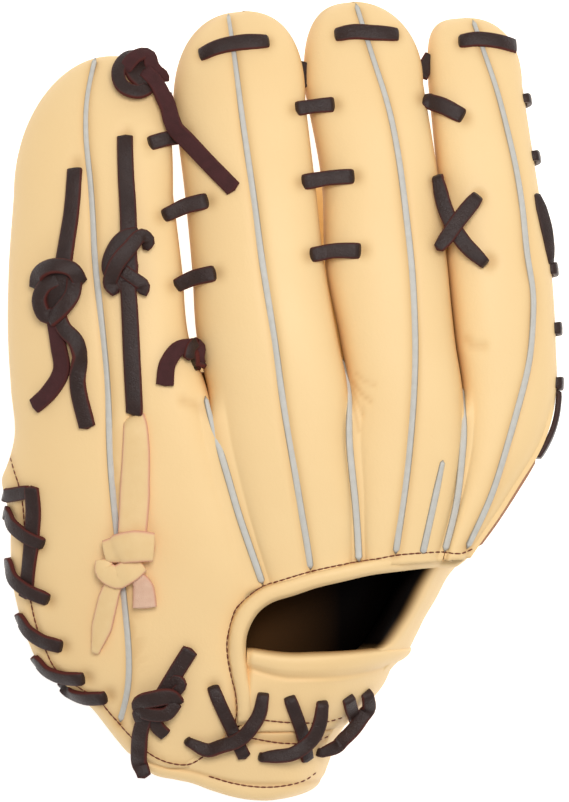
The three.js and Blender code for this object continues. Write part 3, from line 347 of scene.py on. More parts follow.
def give_thickness(piece, millimetres=LEATHER_MM):
    """Hide has its thickness inwards, with the dark lined flesh side as its second material"""
    wall = piece.modifiers.new("hide", "SOLIDIFY")
    wall.thickness = millimetres * MM
    wall.offset = -1
    wall.material_offset = 1
    wall.use_even_offset = False


def stall_sections(stall, y):
    """Centre, half width, half height and corner powers of a stall's sections"""
    shoulder = stall["y"][-1]
    body = np.minimum(y, shoulder)
    left, right = column(stall, "left", body), column(stall, "right", body)
    tip_x, tip_y = stall["tip"]
    along = np.clip((y - shoulder) / (tip_y - shoulder), 0, 1)
    shrink = (1 - along ** stall["round"]) ** (1 / stall["round"])
    corner = column(DECK, "corner", y)
    centre = (left + right) / 2 * (1 - along ** 2) + tip_x * along ** 2
    half = (right - left) / 2 * shrink
    height = column(DECK, "depth", y) / 2 * np.maximum(shrink, 1e-4) ** 0.7
    powers = [SOFT_CORNER + 0 * y if stall["soft"] == side else corner for side in ("left", "right")]
    return centre, half, height, powers


def stall_surface(stall, angle, y):
    """Points on a stall's outside at an angle from its top, in degrees, positive to the right"""
    centre, half, height, powers = stall_sections(stall, y)
    power = np.where(angle < 0, powers[0], powers[1])
    sin, cos = np.sin(np.radians(angle)), np.cos(np.radians(angle))
    share = np.sign(sin) * np.abs(sin) ** (2 / power)
    x = centre + half * share
    middle = deck(x, y) - column(DECK, "depth", y) / 2
    z = middle + height * np.sign(cos) * np.abs(cos) ** (2 / power)
    if stall["soft"] != "left":
        z = z + SHINGLE["rise"] * share * smoothstep(y, SHINGLE["from_y"], SHINGLE["full_y"])
    return np.stack([x, y + 0 * x, z], axis=1)


def welt_x(stall, y):
    return column(stall, "welt_x", y, "welt_y")


def line_distance(points, line):
    """Distance in plan from each point to a broken line"""
    best = np.full(len(points), 1e9)
    for (ax, ay), (bx, by) in zip(line[:-1], line[1:]):
        along = np.array([bx - ax, by - ay])
        offset = points[:, :2] - (ax, ay)
        share = np.clip(offset @ along / (along @ along), 0, 1)
        best = np.minimum(best, np.linalg.norm(offset - share[:, None] * along, axis=1))
    return best


def pressed(points):
    """How deep creases, seams and lace holes press into the back, and how much painted shade they lay on it
    """
    sink, shade = np.zeros(len(points)), np.zeros(len(points))
    for press in PRESSES:
        bell = np.exp(-(line_distance(points, press["line"]) / press["width"]) ** 2)
        sink, shade = sink + press["depth"] * bell, np.maximum(shade, press["shade"] * bell)
    for hole in LACE_HOLES:
        bell = np.exp(-(np.linalg.norm(points[:, :2] - hole, axis=1) / HOLE["width"]) ** 2)
        sink, shade = sink + HOLE["depth"] * bell, np.maximum(shade, HOLE["shade"] * bell)
    return sink, shade


def stall_angles(stall, u, y):
    """Angles round a stall for u from -1 to 1: welt at 0, the back beside it, the underside at the ends"""
    centre, half, _, powers = stall_sections(stall, y)
    at = np.clip((welt_x(stall, y) - centre) / np.maximum(half, 1e-3), -0.98, 0.98)
    power = np.where(at < 0, powers[0], powers[1])
    welt_angle = np.degrees(np.arcsin(np.sign(at) * np.abs(at) ** (power / 2)))
    top_share = TOP_COLUMNS / (TOP_COLUMNS + UNDER_COLUMNS)
    top = np.clip(np.abs(u) / top_share, 0, 1) ** TUBE["spread"]
    edge = np.where(u < 0, -90, 90)
    under = np.clip((np.abs(u) - top_share) / (1 - top_share), 0, 1)
    closed = smoothstep(y, TUBE["open_y"], TUBE["closed_y"])
    reach = TUBE["lap"] + (90 - TUBE["lap"]) * closed
    return welt_angle + (edge - welt_angle) * top + np.sign(u) * under * reach


def stall_relief(stall, points, angle):
    """Work the welt's groove, presses, sewn sides and soft swells into a stall, and say how much painted
    shade its groove, presses and flanks get
    """
    y = points[:, 1].copy()
    tip_y = stall["tip"][1]
    away = points[:, 0] - welt_x(stall, y)
    in_run = smoothstep(y, stall["welt_y"][0] - GROOVE["run_in"], stall["welt_y"][0])
    bell = np.exp(-np.abs(away / GROOVE["width"]) ** 1.5) * in_run * (np.abs(angle) < BACK_ANGLE)
    bell = bell * (1 - smoothstep(y, tip_y - GROOVE["tip_end"], tip_y))
    sink, shade = pressed(points)
    outside = np.abs(angle) < OUTSIDE_ANGLE
    points[:, 2] -= GROOVE["depth"] * bell + sink * outside
    towards_crotch = (y - SEWN["cuff_y"]) / (SEWN["crotch_y"] - SEWN["cuff_y"])
    sinks = SEWN["cuff_sink"], SEWN["crotch_sink"]
    sewn = deck(points[:, 0], y) - sinks[0] - (sinks[1] - sinks[0]) * towards_crotch
    shut = (1 - smoothstep(y, SEWN["full_y"], SEWN["none_y"])) * (np.abs(angle) <= BACK_ANGLE)
    if stall["soft"] == "left":
        shut = shut * (angle > 0) * (y > SEWN["corner_y"])
    points[:, 2] += np.maximum(sewn - points[:, 2], 0) * shut
    swell = (np.sin(points[:, 0] / SWELL["x"][0] + points[:, 1] / SWELL["y"][0])
             * np.sin(points[:, 1] / SWELL["y"][1] + points[:, 0] / SWELL["x"][1]))
    points[:, 2] += SWELL["height"] * swell * outside
    # Painted shade on the flanks, standing in for the shadow of the lapping neighbour, is added to the shade
    # painted into the groove and the presses
    valley_shade = 0
    for side, free, across in (("lapped", "left", -angle), ("facing", "right", angle)):
        low, high, depth = VALLEY_SHADE[side]
        valley_shade = valley_shade + smoothstep(across, low, high) * depth * (stall["soft"] != free)
    return points, np.clip(GROOVE["shade"] * bell + shade * outside + valley_shade * outside, 0, 1)


def stall_place(stall):
    shoulder, tip_y = stall["y"][-1], stall["tip"][1]

    def place(across, along):
        u = 2 * across - 1
        start = stall["y"][0]
        if stall["soft"] != "left":
            first = np.array([start])
            left, right = column(stall, "left", first), column(stall, "right", first)
            turn = np.clip(u * CUFF_TURN, -1, 1) * np.pi / 2
            start = column(CUFF_LINE, "y", (left + right) / 2 + (right - left) / 2 * np.sin(turn), "x")
        share = along * (BODY_ROWS + TIP_ROWS) / BODY_ROWS
        tip_share = np.clip((share - 1) * BODY_ROWS / TIP_ROWS, 0, 1)
        y = np.where(share <= 1, start + share * (shoulder - start),
                     shoulder + (tip_y - shoulder) * np.sin(tip_share * np.pi / 2))
        angle = stall_angles(stall, u, y)
        points, hollow = stall_relief(stall, stall_surface(stall, angle, y), angle)
        return points, {"hollow": hollow}

    return place


leather_pieces = []
for name, stall in STALLS.items():
    shape = bmesh.new()
    add_grid(shape, 2 * (TOP_COLUMNS + UNDER_COLUMNS), BODY_ROWS + TIP_ROWS, stall_place(stall))
    piece = finish_mesh(f"{name}_stall_leather", shape, [blond, lining], nodes=[f"{name}_stall"])
    give_thickness(piece)
    # The wall thins out where the rounded tip closes, which leaves no room for its full thickness
    wall_group = piece.vertex_groups.new(name="wall")
    for vert in piece.data.vertices:
        at_tip = vert.co.y > (stall["tip"][1] - THIN_TIP["reach"]) * MM
        wall_group.add([vert.index], THIN_TIP["share"] if at_tip else 1, "REPLACE")
    piece.modifiers["hide"].vertex_group = "wall"
    leather_pieces.append(piece)


# Binding of the back opening
# A strip of the same leather folded over the edge of the opening and sewn down along its outside. It bulges
# softly between the stitches and its rolled edge, and turns down into the dark.
BINDING = {
    "outer_x": (80.5, 77.4, 70, 60, 46.4, 34, 22.5, 11, 0.2, -8.6, -15.3, -19.6, -22.2, -22.9, -21.6, -20,
                -19.6, -19.8),
    "outer_y": (-57.5, -60.8, -62.2, -62.1, -63.1, -64.9, -67.2, -69.8, -73, -76.1, -81, -86.4, -94, -103,
                -112, -121, -129, -134),
    "inner_x": (75, 71, 64.5, 57.5, 47.8, 36, 23.5, 13.5, 4.7, -4.1, -9.5, -13, -15.2, -15.5, -14.6, -13, -12,
                -11.5),
    "inner_y": (-66, -68.6, -68.9, -69, -69.9, -71.3, -74.1, -76.5, -79.5, -82.3, -85.9, -90.8, -97, -104,
                -112, -120, -128, -134),
}
ROLL_SECTION = {
    "at": (0, 0.06, 0.12, 0.25, 0.45, 0.65, 0.8, 0.9, 1, 1.02, 1),
    "rise": (-2.6, -1.2, 0.3, 1.4, 2.1, 2.1, 1.5, 0.3, -1.7, -4, -8),
}
BINDING_FORM = {"strap_from": 0.72, "strap_full": 0.8, "under_strap": 0.35, "end": 0.97, "end_sink": 1.2,
                "clear_of_fold": 9, "hide": 1.4}
PUCKER = {"height": 0.12, "turns": 190, "at": 0.14, "width": 0.12}
SEAM_SHADE = {"depth": 0.5, "width": 0.09, "roll_from": 1.5, "roll_full": 6}
CUFF = {
    "y": (-164.5, -162, -158, -152, -147, -138, -132, -126, -120.5, -111, -107, -98, -91, -82, -73, -68, -60,
          -48, -22, 12),
    "right": (3, 10, 15.5, 18.4, 20.2, 24.6, 29.2, 35.4, 40.2, 46.2, 50.4, 55.6, 59, 64.2, 69, 73, 77, 84.5,
              97, 104),
    "round": (16, 18, 21, 25, 29, 34, 36, 38, 40, 42, 42.5, 44, 45, 45, 45, 45, 45, 45, 45, 45),
    "under": (-22, -25, -30, -36, -40, -45, -48, -50, -51, -52, -52, -52, -52, -52, -51, -50, -49, -48, -46,
              -40),
}
FOLD_POWER = 2.2
FOLD_MIDDLE = 0.46


def fold_point(y, degrees):
    """A point on the outside of the fold on the right, at an angle from its outermost line"""
    round_off = column(CUFF, "round", y)
    centre = column(CUFF, "right", y) - round_off
    cos, sin = np.cos(np.radians(degrees)), np.sin(np.radians(degrees))
    x = centre + round_off * np.abs(cos) ** (2 / FOLD_POWER)
    middle = FOLD_MIDDLE * deck(centre, y)
    up = np.where(sin >= 0, deck(x, y) - middle, middle)
    z = middle + np.sign(sin) * up * np.abs(sin) ** (2 / FOLD_POWER)
    return np.stack([x + 0 * z, y + 0 * z, np.maximum(z, 0)], axis=-1)


def cuff_height(x, y):
    """Height of the back over the wrist, with its fall to the right"""
    round_off = column(CUFF, "round", y)
    centre = column(CUFF, "right", y) - round_off
    share = np.clip((x - centre) / round_off, 0, 0.999)
    middle = FOLD_MIDDLE * deck(centre, y)
    fall = (1 - share ** FOLD_POWER) ** (1 / FOLD_POWER)
    return np.where(x <= centre, deck(x, y), middle + (deck(x, y) - middle) * fall)


def at_share(table, name, share):
    values = np.array(table[name], float)
    steps = {"at": np.linspace(0, 1, len(values)), "value": values}
    return column(steps, "value", share, "at")


def binding_place(across, along):
    outer = np.stack([at_share(BINDING, "outer_x", along), at_share(BINDING, "outer_y", along)], axis=1)
    inner = np.stack([at_share(BINDING, "inner_x", along), at_share(BINDING, "inner_y", along)], axis=1)
    share, rise = at_share(ROLL_SECTION, "at", across), at_share(ROLL_SECTION, "rise", across)
    plan = outer + (inner - outer) * share[:, None]
    into_strap = smoothstep(along, BINDING_FORM["strap_from"], BINDING_FORM["strap_full"])
    rise = np.where(rise < 0, rise, rise * (1 - BINDING_FORM["under_strap"] * into_strap))
    end = 1 - smoothstep(along, BINDING_FORM["end"], 1)
    fold_x = column(CUFF, "right", plan[:, 1]) - BINDING_FORM["clear_of_fold"]
    base = cuff_height(np.minimum(plan[:, 0], fold_x), plan[:, 1])
    near_stitches = np.exp(-((share - PUCKER["at"]) / PUCKER["width"]) ** 2)
    ripple = PUCKER["height"] * np.sin(along * PUCKER["turns"]) * near_stitches
    points = np.column_stack([plan, base + (rise + ripple) * end - BINDING_FORM["end_sink"] * (1 - end)])
    # Painted shade along the stitched seam at the outer edge and under the rolled inner edge, fading out
    # where the binding runs under the strap
    seam = np.exp(-(share / SEAM_SHADE["width"]) ** 2) * SEAM_SHADE["depth"]
    roll = smoothstep(-rise, SEAM_SHADE["roll_from"], SEAM_SHADE["roll_full"]) * (across > 0.5)
    return points, {"hollow": np.clip((seam + roll) * (1 - into_strap), 0, 1)}


shape = bmesh.new()
add_grid(shape, 30, 150, binding_place)
piece = finish_mesh("opening_binding_leather", shape, [blond, lining], nodes=["opening_binding"])
give_thickness(piece, BINDING_FORM["hide"])
leather_pieces.append(piece)

# Wrist strap and heel band
# The strap is a band of doubled leather with a thick rolled top edge and a soft groove below the roll. Under
# it the heel band closes the wrist, with a recessed upper hem and a rolled rim at the bottom.
# Each profile lists down the band its y, the rise of the hide and the painted shade of its grooves, rolls and
# hems
STRAP_PROFILE = {
    "y": (-101.6, -102, -102.8, -103.8, -105.6, -107.6, -109, -110.4, -112.4, -116, -124, -130.5, -132.4,
          -134.2, -135.6, -136.4, -136.6),
    "rise": (-7, -3.2, -0.6, 0.8, 1.4, 1.1, 0.1, -0.9, -0.1, 0.5, 0.7, 0.6, 0.2, 0.5, 0.3, -0.6, -2.5),
    "shade": (1, 0.6, 0.1, 0, 0, 0.02, 0.1, 0.2, 0.08, 0, 0, 0.02, 0.2, 0.05, 0.1, 0.5, 0.7),
}
HEEL_PROFILE = {
    "y": (-136.2, -136.8, -137.6, -139, -140.6, -142, -144, -148, -152, -155, -156.8, -158.4, -160, -161.4,
          -162.6, -163.2, -163),
    "rise": (-2.2, -1.2, -0.7, -0.9, -1.1, -0.5, 0, 0.2, 0.1, -0.1, -0.6, 0.1, 0.3, -0.2, -1.6, -4, -8),
    "shade": (0.7, 0.4, 0.25, 0.4, 0.5, 0.15, 0, 0, 0, 0.05, 0.35, 0.05, 0, 0, 0.1, 0.2, 0.4),
}
BANDS = {
    "wrist_strap": {"profile": STRAP_PROFILE,
                    "left": {"y": (-137, -134, -120, -101), "x": (-20, -18, -16, -15)}},
    "heel_band": {"profile": HEEL_PROFILE,
                  "left": {"y": (-163.4, -156, -151, -146, -140, -136), "x": (-57, -57, -54, -40, -25, -22)}},
}
BAND_FORM = {"columns": 90, "rows": 70, "hide": 1.6, "fold_top": 89.9, "seam_angle": -34, "end_sink": 2.2}
FLAT_SHARE = {"per_mm": 0.52 / 30, "least": 0.12, "most": 0.6}
STRAP_BOW = {"start": 0.05, "span": 0.6, "top": 1.8, "top_from": -124, "top_full": -104, "groove": 2.2,
             "groove_y": -111, "groove_width": 4}
HEEL_BOTTOM = {
    "x": (-57, -53.5, -45, -37.5, -31, -27.3, -19.1, -8.4, 0),
    "y": (-153.6, -155.4, -157.2, -158.8, -161.2, -162.4, -164.6, -165.7, -165.4),
}
HEEL_TOP_Y, HEEL_LOW_Y = -136, -163.2
HEEL_CORNER = {"x": (-30, -20), "y": (-150, -141)}
STRAP_END_SHARE = 0.05


def strap_bow(across, y):
    """How far the strap's top edge and groove sag towards the heel"""
    middle = np.clip((across - STRAP_BOW["start"]) / STRAP_BOW["span"], 0, 1)
    top = STRAP_BOW["top"] * smoothstep(y, STRAP_BOW["top_from"], STRAP_BOW["top_full"])
    groove = STRAP_BOW["groove"] * np.exp(-((y - STRAP_BOW["groove_y"]) / STRAP_BOW["groove_width"]) ** 2)
    return -np.sin(np.pi * middle) * (top + groove)


def band_place(band):
    profile = {key: column_values[::-1] for key, column_values in band["profile"].items()}
    steps = {"at": np.linspace(0, 1, len(profile["y"])), **profile}

    def place(across, along):
        y, rise, shade = [column(steps, name, along, "at") for name in ("y", "rise", "shade")]
        left = column(band["left"], "x", y, "y")
        centre = column(CUFF, "right", y) - column(CUFF, "round", y)
        crown_share = np.clip((centre - left) * FLAT_SHARE["per_mm"], FLAT_SHARE["least"], FLAT_SHARE["most"])
        flat = across < crown_share
        flat_x = left + (centre - left) * np.clip(across / crown_share, 0, 1)
        turn = np.clip((across - crown_share) / (1 - crown_share), 0, 1) ** 0.9
        top, seam = BAND_FORM["fold_top"], BAND_FORM["seam_angle"]
        folded = fold_point(y, top + (seam - top) * turn)
        x = np.where(flat, flat_x, folded[:, 0])
        z = np.where(flat, deck(flat_x, y), folded[:, 2])
        slope = np.clip((x - centre) / column(CUFF, "round", y), 0, 1) ** 2
        if band["profile"] is STRAP_PROFILE:
            sink = BAND_FORM["end_sink"] * (1 - smoothstep(across, 0, STRAP_END_SHARE))
            y = y + strap_bow(across, y)
        else:
            bottom = column(HEEL_BOTTOM, "y", x, "x")
            y = HEEL_TOP_Y + (y - HEEL_TOP_Y) * (bottom - HEEL_TOP_Y) / (HEEL_LOW_Y - HEEL_TOP_Y)
            corner = (1 - smoothstep(x, *HEEL_CORNER["x"])) * smoothstep(y, *HEEL_CORNER["y"])
            sink = BAND_FORM["end_sink"] * corner
        points = np.column_stack([x + rise * slope, y, z + rise * (1 - slope) - sink])
        # The profile's painted shade goes onto the band
        return points, {"hollow": np.clip(shade, 0, 1)}

    return place


for name, band in BANDS.items():
    shape = bmesh.new()
    add_grid(shape, BAND_FORM["columns"], BAND_FORM["rows"], band_place(band))
    piece = finish_mesh(f"{name}_leather", shape, [blond, lining], nodes=[name])
    give_thickness(piece, BAND_FORM["hide"])
    leather_pieces.append(piece)

# Thumb side under the fold
# The back of the thumb side comes out of the opening over a soft round edge, folds down on the right and lies
# on the floor. It is one blond hide, and its edge rolls into the dark of the opening.
THUMB_ROWS = {
    "y": (-160, -147, -132, -118, -106, -103, -98, -90, -80, -70, -63, -56, -45, -22),
    "start": (30, 30, 30, 30, 32, 50, 56, 58, 58, 60, 62, 58, 40, 22),
    "lip": (2, 2, 2, 3, 5, 7, 8, 8, 8, 7, 5, 3, 2, 2),
}
OPENING_RIGHT = {
    "y": (-106, -100, -92, -84, -76, -70, -63),
    "x": (34, 41, 46.6, 51.2, 55, 58, 62),
}
LIP_SHARE, FOLD_SHARE, FLOOR_SHARE = 0.2, 0.55, 0.85
OPENING_ENDS = {"low": (-106, -101), "high": (-66, -60)}
LIP = {"beside_opening": 6.5, "curl": 0.72 * np.pi, "drop_from": 0.62 * np.pi, "drop": 30}
LIP_SHADE = (0.35, 1.25)
FOOT_ROUND = 14
FOOT_ANGLE = 89.9
FOOT_SHADE = {"share": 0.25, "from": 40, "to": 90}


def thumb_back_place(across, along):
    y = THUMB_ROWS["y"][0] + along * (THUMB_ROWS["y"][-1] - THUMB_ROWS["y"][0])
    start, lip = column(THUMB_ROWS, "start", y), column(THUMB_ROWS, "lip", y)
    in_opening = smoothstep(y, *OPENING_ENDS["low"]) * (1 - smoothstep(y, *OPENING_ENDS["high"]))
    edge_x = column(OPENING_RIGHT, "x", y) + LIP["beside_opening"]
    centre = column(CUFF, "right", y) - column(CUFF, "round", y)
    share = np.clip((edge_x - centre) / column(CUFF, "round", y), 0, 0.995)
    edge_angle = np.degrees(np.arccos(share ** 1.1))
    start = start + (edge_angle - start) * in_opening
    fold = np.clip((across - LIP_SHARE) / (FOLD_SHARE - LIP_SHARE), 0, 1)
    under = np.clip((across - FOLD_SHARE) / (FLOOR_SHARE - FOLD_SHARE), 0, 1)
    angle = start * (1 - fold) - FOOT_ANGLE * under
    points = fold_point(y, angle)
    # The soft edge curls inwards round the lip, and drops into the dark inside the opening
    here, beside = fold_point(y, start), fold_point(y, start - 2)
    outward = np.stack([here[:, 2] - beside[:, 2], 0 * y, beside[:, 0] - here[:, 0]], axis=1)
    outward /= np.linalg.norm(outward, axis=1)[:, None]
    inward = np.stack([-outward[:, 2], 0 * y, outward[:, 0]], axis=1)
    curl = np.clip((LIP_SHARE - across) / LIP_SHARE, 0, 1) * LIP["curl"]
    rolled = here + lip[:, None] * (outward * (np.cos(curl) - 1)[:, None] + inward * np.sin(curl)[:, None])
    deep = np.clip(curl - LIP["drop_from"], 0, 1)[:, None] * np.array([0.0, 0, -LIP["drop"]])
    points = np.where((across < LIP_SHARE)[:, None], rolled + deep * in_opening[:, None], points)
    # Below, it runs along the floor and turns up round the foot
    floor_x = column(CUFF, "under", y) + FOOT_ROUND
    run = np.clip((across - FLOOR_SHARE) / (1 - FLOOR_SHARE), 0, 1)
    quarter = np.clip((run - 0.5) / 0.5, 0, 1) * np.pi / 2
    rise = column(DECK, "lower", y) - 1
    flat_x = centre + (floor_x - centre) * np.clip(run / 0.5, 0, 1) - FOOT_ROUND * np.sin(quarter)
    below = np.stack([flat_x, y, rise * (1 - np.cos(quarter))], axis=1)
    points = np.where((across > FLOOR_SHARE)[:, None], below, points)
    # Painted shade: the lip turns dark where it curls into the opening, and the side turning down under the
    # fold is shaded
    dark = smoothstep(curl, *LIP_SHADE) * in_opening
    shade = FOOT_SHADE["share"] * smoothstep(-angle, FOOT_SHADE["from"], FOOT_SHADE["to"])
    return points, {"hollow": np.clip(dark + shade, 0, 1), "inside": dark}


shape = bmesh.new()
add_grid(shape, 110, 90, thumb_back_place)
piece = finish_mesh("thumb_back_leather", shape, [blond, lining], nodes=["thumb_back"])
give_thickness(piece)
leather_pieces.append(piece)

# Palm, its lining and the web
# The palm hide lies under the hand, turns up to the heel's left edge and runs round the pocket to the thumb
# side. A thin dark lining backs it where the hand rests. The web closes the space between index and thumb.
WEB = {
    "y": (-12, 20, 55, 86), "top": (95, 101, 98, 92), "foot": (56, 58, 50, 32), "bulge": (2, 5, 6, 6),
}
THUMB_STALL = {
    "tip": (20, 95), "round": 2.2, "y": (-21.7, 0, 30, 55),
    "left": (-46, -40, -32, -26), "right": (66, 68, 68, 62),
}
THUMB_SECTION = {"middle": 13.5, "half": 16.5, "tip_share": 0.1, "power": 2.3, "tip_run": 0.4}
PALM_ROWS = (-150, -142, -133, -122, -109, -90, -60, -30, -10, 12)
PALM_EDGE = {"inset": 1.5, "below_back": 0.5, "rise": 18, "reach": 26, "from_y": 6, "run": 30}
PALM_TURN = {"from_fold": 24, "fold_share": 0.8, "furthest": 80, "round": 20, "round_share": 0.6}
LINING_FORM = {"above_palm": 2.1, "left": -62, "from_edge": 22}
WEB_FOOT_Z, WEB_INTO_STALL = 27, 5.8
WALL_SHADE = (0.02, 0.08)


def resampled(path, count):
    """Evenly spaced points on a smooth curve through a path's points"""
    path = np.array(path, float)
    runs = np.concatenate([[0], np.cumsum(np.linalg.norm(np.diff(path, axis=0), axis=1))])
    at = np.linspace(0, runs[-1], count)
    table = {"at": runs, **{str(axis): path[:, axis] for axis in range(path.shape[1])}}
    return np.stack([column(table, str(axis), at, "at") for axis in range(path.shape[1])], axis=1)


def wall_place(places, path_at, columns, shade_inside):
    """Place a wall whose section at each y is a smooth path of x and z"""
    paths = np.array([resampled(path_at(y), columns + 1) for y in places])

    def place(across, along):
        y = places[0] + along * (places[-1] - places[0])
        at = np.clip(np.round(across * columns).astype(int), 0, columns)
        points = np.zeros((len(y), 3))
        points[:, 1] = y
        for step in range(columns + 1):
            chosen = at == step
            for axis, out in ((0, 0), (1, 2)):
                points[chosen, out] = column({"y": places, "value": paths[:, step, axis]}, "value", y[chosen])
        # Painted shade: walls lying inside the glove take the dark colour of the inside from just past their
        # first edge
        dark = smoothstep(across, *WALL_SHADE) * shade_inside
        return points, {"hollow": np.zeros(len(y)), "inside": dark}

    return place


def palm_top(x, y):
    edge = column(STALLS["pinky"], "left", y) + PALM_EDGE["inset"]
    towards_heel = smoothstep(PALM_EDGE["from_y"] - y, 0, PALM_EDGE["run"])
    rise = towards_heel * np.maximum(column(DECK, "depth", y) - PALM_EDGE["rise"], 0)
    near_edge = np.clip(1 - (x - edge) / PALM_EDGE["reach"], 0, 1) ** 2
    return deck(x, y) - column(DECK, "depth", y) - PALM_EDGE["below_back"] + rise * near_edge


def palm_path(y, outwards=0.0, start=None, to_floor=True):
    """Section of the palm: under the hand to the right, round the pocket's end, and back along the floor"""
    round_off = column(CUFF, "round", y)
    back_off = np.minimum(PALM_TURN["from_fold"], PALM_TURN["fold_share"] * round_off)
    right = np.minimum(column(CUFF, "right", y) - back_off, PALM_TURN["furthest"])
    turn = np.minimum(PALM_TURN["round"], PALM_TURN["round_share"] * round_off)
    centre = right - turn
    start = column(STALLS["pinky"], "left", y) + PALM_EDGE["inset"] if start is None else start
    path = []
    for share in (0, 0.06, 0.12, 0.18, 0.35, 0.65, 1):
        x = start + (centre - start) * share
        path.append((x, palm_top(x, y) + outwards))
    top, low = palm_top(centre, y), column(DECK, "lower", y) + 0.3
    for degrees in (50, 15, -20, -55, -90):
        angle = np.radians(degrees)
        path.append((centre + (turn + outwards) * np.cos(angle),
                     (top + low) / 2 + ((top - low) / 2 + outwards) * np.sin(angle)))
    if to_floor:
        path.append((column(CUFF, "under", y) + 1, low))
    return path


def lining_path(y):
    start = np.maximum(LINING_FORM["left"], column(STALLS["pinky"], "left", y) + LINING_FORM["from_edge"])
    return palm_path(y, LINING_FORM["above_palm"], start, to_floor=False)


def web_path(y):
    high_x, low_x, bulge = column(WEB, "top", y), column(WEB, "foot", y), column(WEB, "bulge", y)
    high_z = deck(high_x, y) - column(DECK, "depth", y) + WEB_INTO_STALL
    return [(high_x + (low_x - high_x) * share ** 1.4 + bulge * np.sin(np.pi * share),
             high_z + (WEB_FOOT_Z - high_z) * share) for share in np.linspace(0, 1, 8)]


def thumb_stall_place(across, along):
    stall, section = THUMB_STALL, THUMB_SECTION
    shoulder, tip_y = stall["y"][-1], stall["tip"][1]
    share = along * (1 + section["tip_run"])
    tip_share = np.clip((share - 1) / section["tip_run"], 0, 1)
    y = np.where(share <= 1, stall["y"][0] + share * (shoulder - stall["y"][0]),
                 shoulder + (tip_y - shoulder) * np.sin(tip_share * np.pi / 2))
    body = np.minimum(y, shoulder)
    ahead = np.clip((y - shoulder) / (tip_y - shoulder), 0, 1)
    shrink = (1 - ahead ** stall["round"]) ** (1 / stall["round"])
    left, right = column(stall, "left", body), column(stall, "right", body)
    angle = across * 2 * np.pi
    cos, sin = np.cos(angle), np.sin(angle)
    middle_x = (left + right) / 2 * (1 - ahead ** 2) + stall["tip"][0] * ahead ** 2
    x = middle_x + (right - left) / 2 * shrink * np.sign(cos) * np.abs(cos) ** (2 / section["power"])
    half = section["half"] * (section["tip_share"] + (1 - section["tip_share"]) * shrink)
    z = section["middle"] + half * np.sign(sin) * np.abs(sin) ** (2 / section["power"]) * (shrink > 0)
    return np.column_stack([x, y, np.maximum(z, 0)]), {"hollow": 0 * x}


# Palm hide: the same steerhide, darkened a little by oil where it is handled, with a deeper painted shade
# tone for its hollows
PALM_TAN = {"light": "#F1CFA0", "dark": "#E6BE8F", "hollow": "#C98F5A"}
palm_leather = leather("tan_palm_leather", PALM_TAN, 0.55, 0.05)
WALL_GRID = (80, 70)
WALLS = {
    "palm_shell": {"rows": PALM_ROWS, "path": palm_path, "skin": palm_leather,
                   "slot": "palm_leather", "wall": -4},
    "palm_lining": {"rows": (-124, -109, -90, -75, -60, -42), "path": lining_path, "skin": lining,
                    "slot": "lining", "wall": -1.2},
    "web_panel": {"rows": (-12, 4, 20, 38, 55, 72, 86), "path": web_path, "skin": blond,
                  "slot": "blond_leather", "wall": 2.4},
}
for name, row in WALLS.items():
    shape = bmesh.new()
    places = np.array(row["rows"], float)
    add_grid(shape, *WALL_GRID, wall_place(places, row["path"], WALL_GRID[0], row["skin"] is not blond))
    piece = finish_mesh(f"{name}_hide", shape, [row["skin"], row["skin"]], nodes=[name])
    give_thickness(piece, row["wall"])
shape = bmesh.new()
add_grid(shape, 72, 80, thumb_stall_place)
piece = finish_mesh("thumb_stall_leather", shape, [blond, lining], nodes=["thumb_stall"])
give_thickness(piece)

# Welts
# Narrow strips of silvery split leather, set into the seams of the stalls when they are sewn. Each lies in
# its groove with a rounded top and starts narrow.
WELT = {"start_width": 0.7 * 2.9, "width": 2.9, "thickness": 1.5, "step": 2.2, "lift": 0.35, "seam_lift": 0.5}
WELT_LINES = {
    **{f"{name}_welt": tuple(zip(stall["welt_x"], stall["welt_y"]))[::-1] for name, stall in STALLS.items()},
    "middle_side_seam": ((65, -24), (62.1, -38), (56.8, -62.5)),
    "pinky_ring_seam": ((-32.6, 2), (-29.4, -9), (-23.8, -27.1), (-20.1, -40.6), (-13.6, -60), (-8, -76)),
    "ring_middle_seam": ((24.6, 18), (26.2, 5), (26.4, -11.9), (28.1, -30.5), (29.2, -40.2), (31, -66.5)),
    "middle_index_seam": ((74, 6), (74.2, -6), (72.8, -24), (71.1, -40.2), (65.8, -62)),
}
SEAMS_BETWEEN_STALLS = ("pinky_ring_seam", "ring_middle_seam", "middle_index_seam")
SKY = 300
BACK_DEPTH = 22
END_SHARE = 0.22
ENDS_SHUT = 0.02

# Everything laid on the back finds its height on the hides that are already there
skin_points, skin_faces = [], []
for piece in leather_pieces:
    offset = len(skin_points)
    skin_points += [vert.co / MM for vert in piece.data.vertices]
    skin_faces += [[offset + at for at in face.vertices] for face in piece.data.polygons]
skin = BVHTree.FromPolygons(skin_points, skin_faces)


def touch(x, y):
    """Height and normal of the glove's back under a point of the plan, and no height over a gap"""
    hit, normal, _, _ = skin.ray_cast(Vector((x, y, SKY)), Vector((0, 0, -1)))
    if hit is None or hit.z < float(cuff_height(x, y)) - BACK_DEPTH:
        return None, Vector((0, 0, 1))
    return hit.z, normal if normal.z > 0 else -normal


def smooth_line(points, step):
    """Points about a step apart on a smooth curve through a few given ones"""
    points = np.array(points, float)
    length = np.linalg.norm(np.diff(points, axis=0), axis=1).sum()
    return resampled(points, max(int(length / step) + 1, 4))


def taut_over(runs, heights, taut):
    """Heights pulled up towards straight spans between the points that hold a taut strip"""
    hull = []
    for at in range(len(runs)):
        while len(hull) > 1:
            a, b = hull[-2], hull[-1]
            to_b, to_here = heights[b] - heights[a], heights[at] - heights[a]
            if to_b * (runs[at] - runs[a]) > to_here * (runs[b] - runs[a]):
                break
            hull.pop()
        hull.append(at)
    return heights + taut * (np.interp(runs, runs[hull], heights[hull]) - heights)


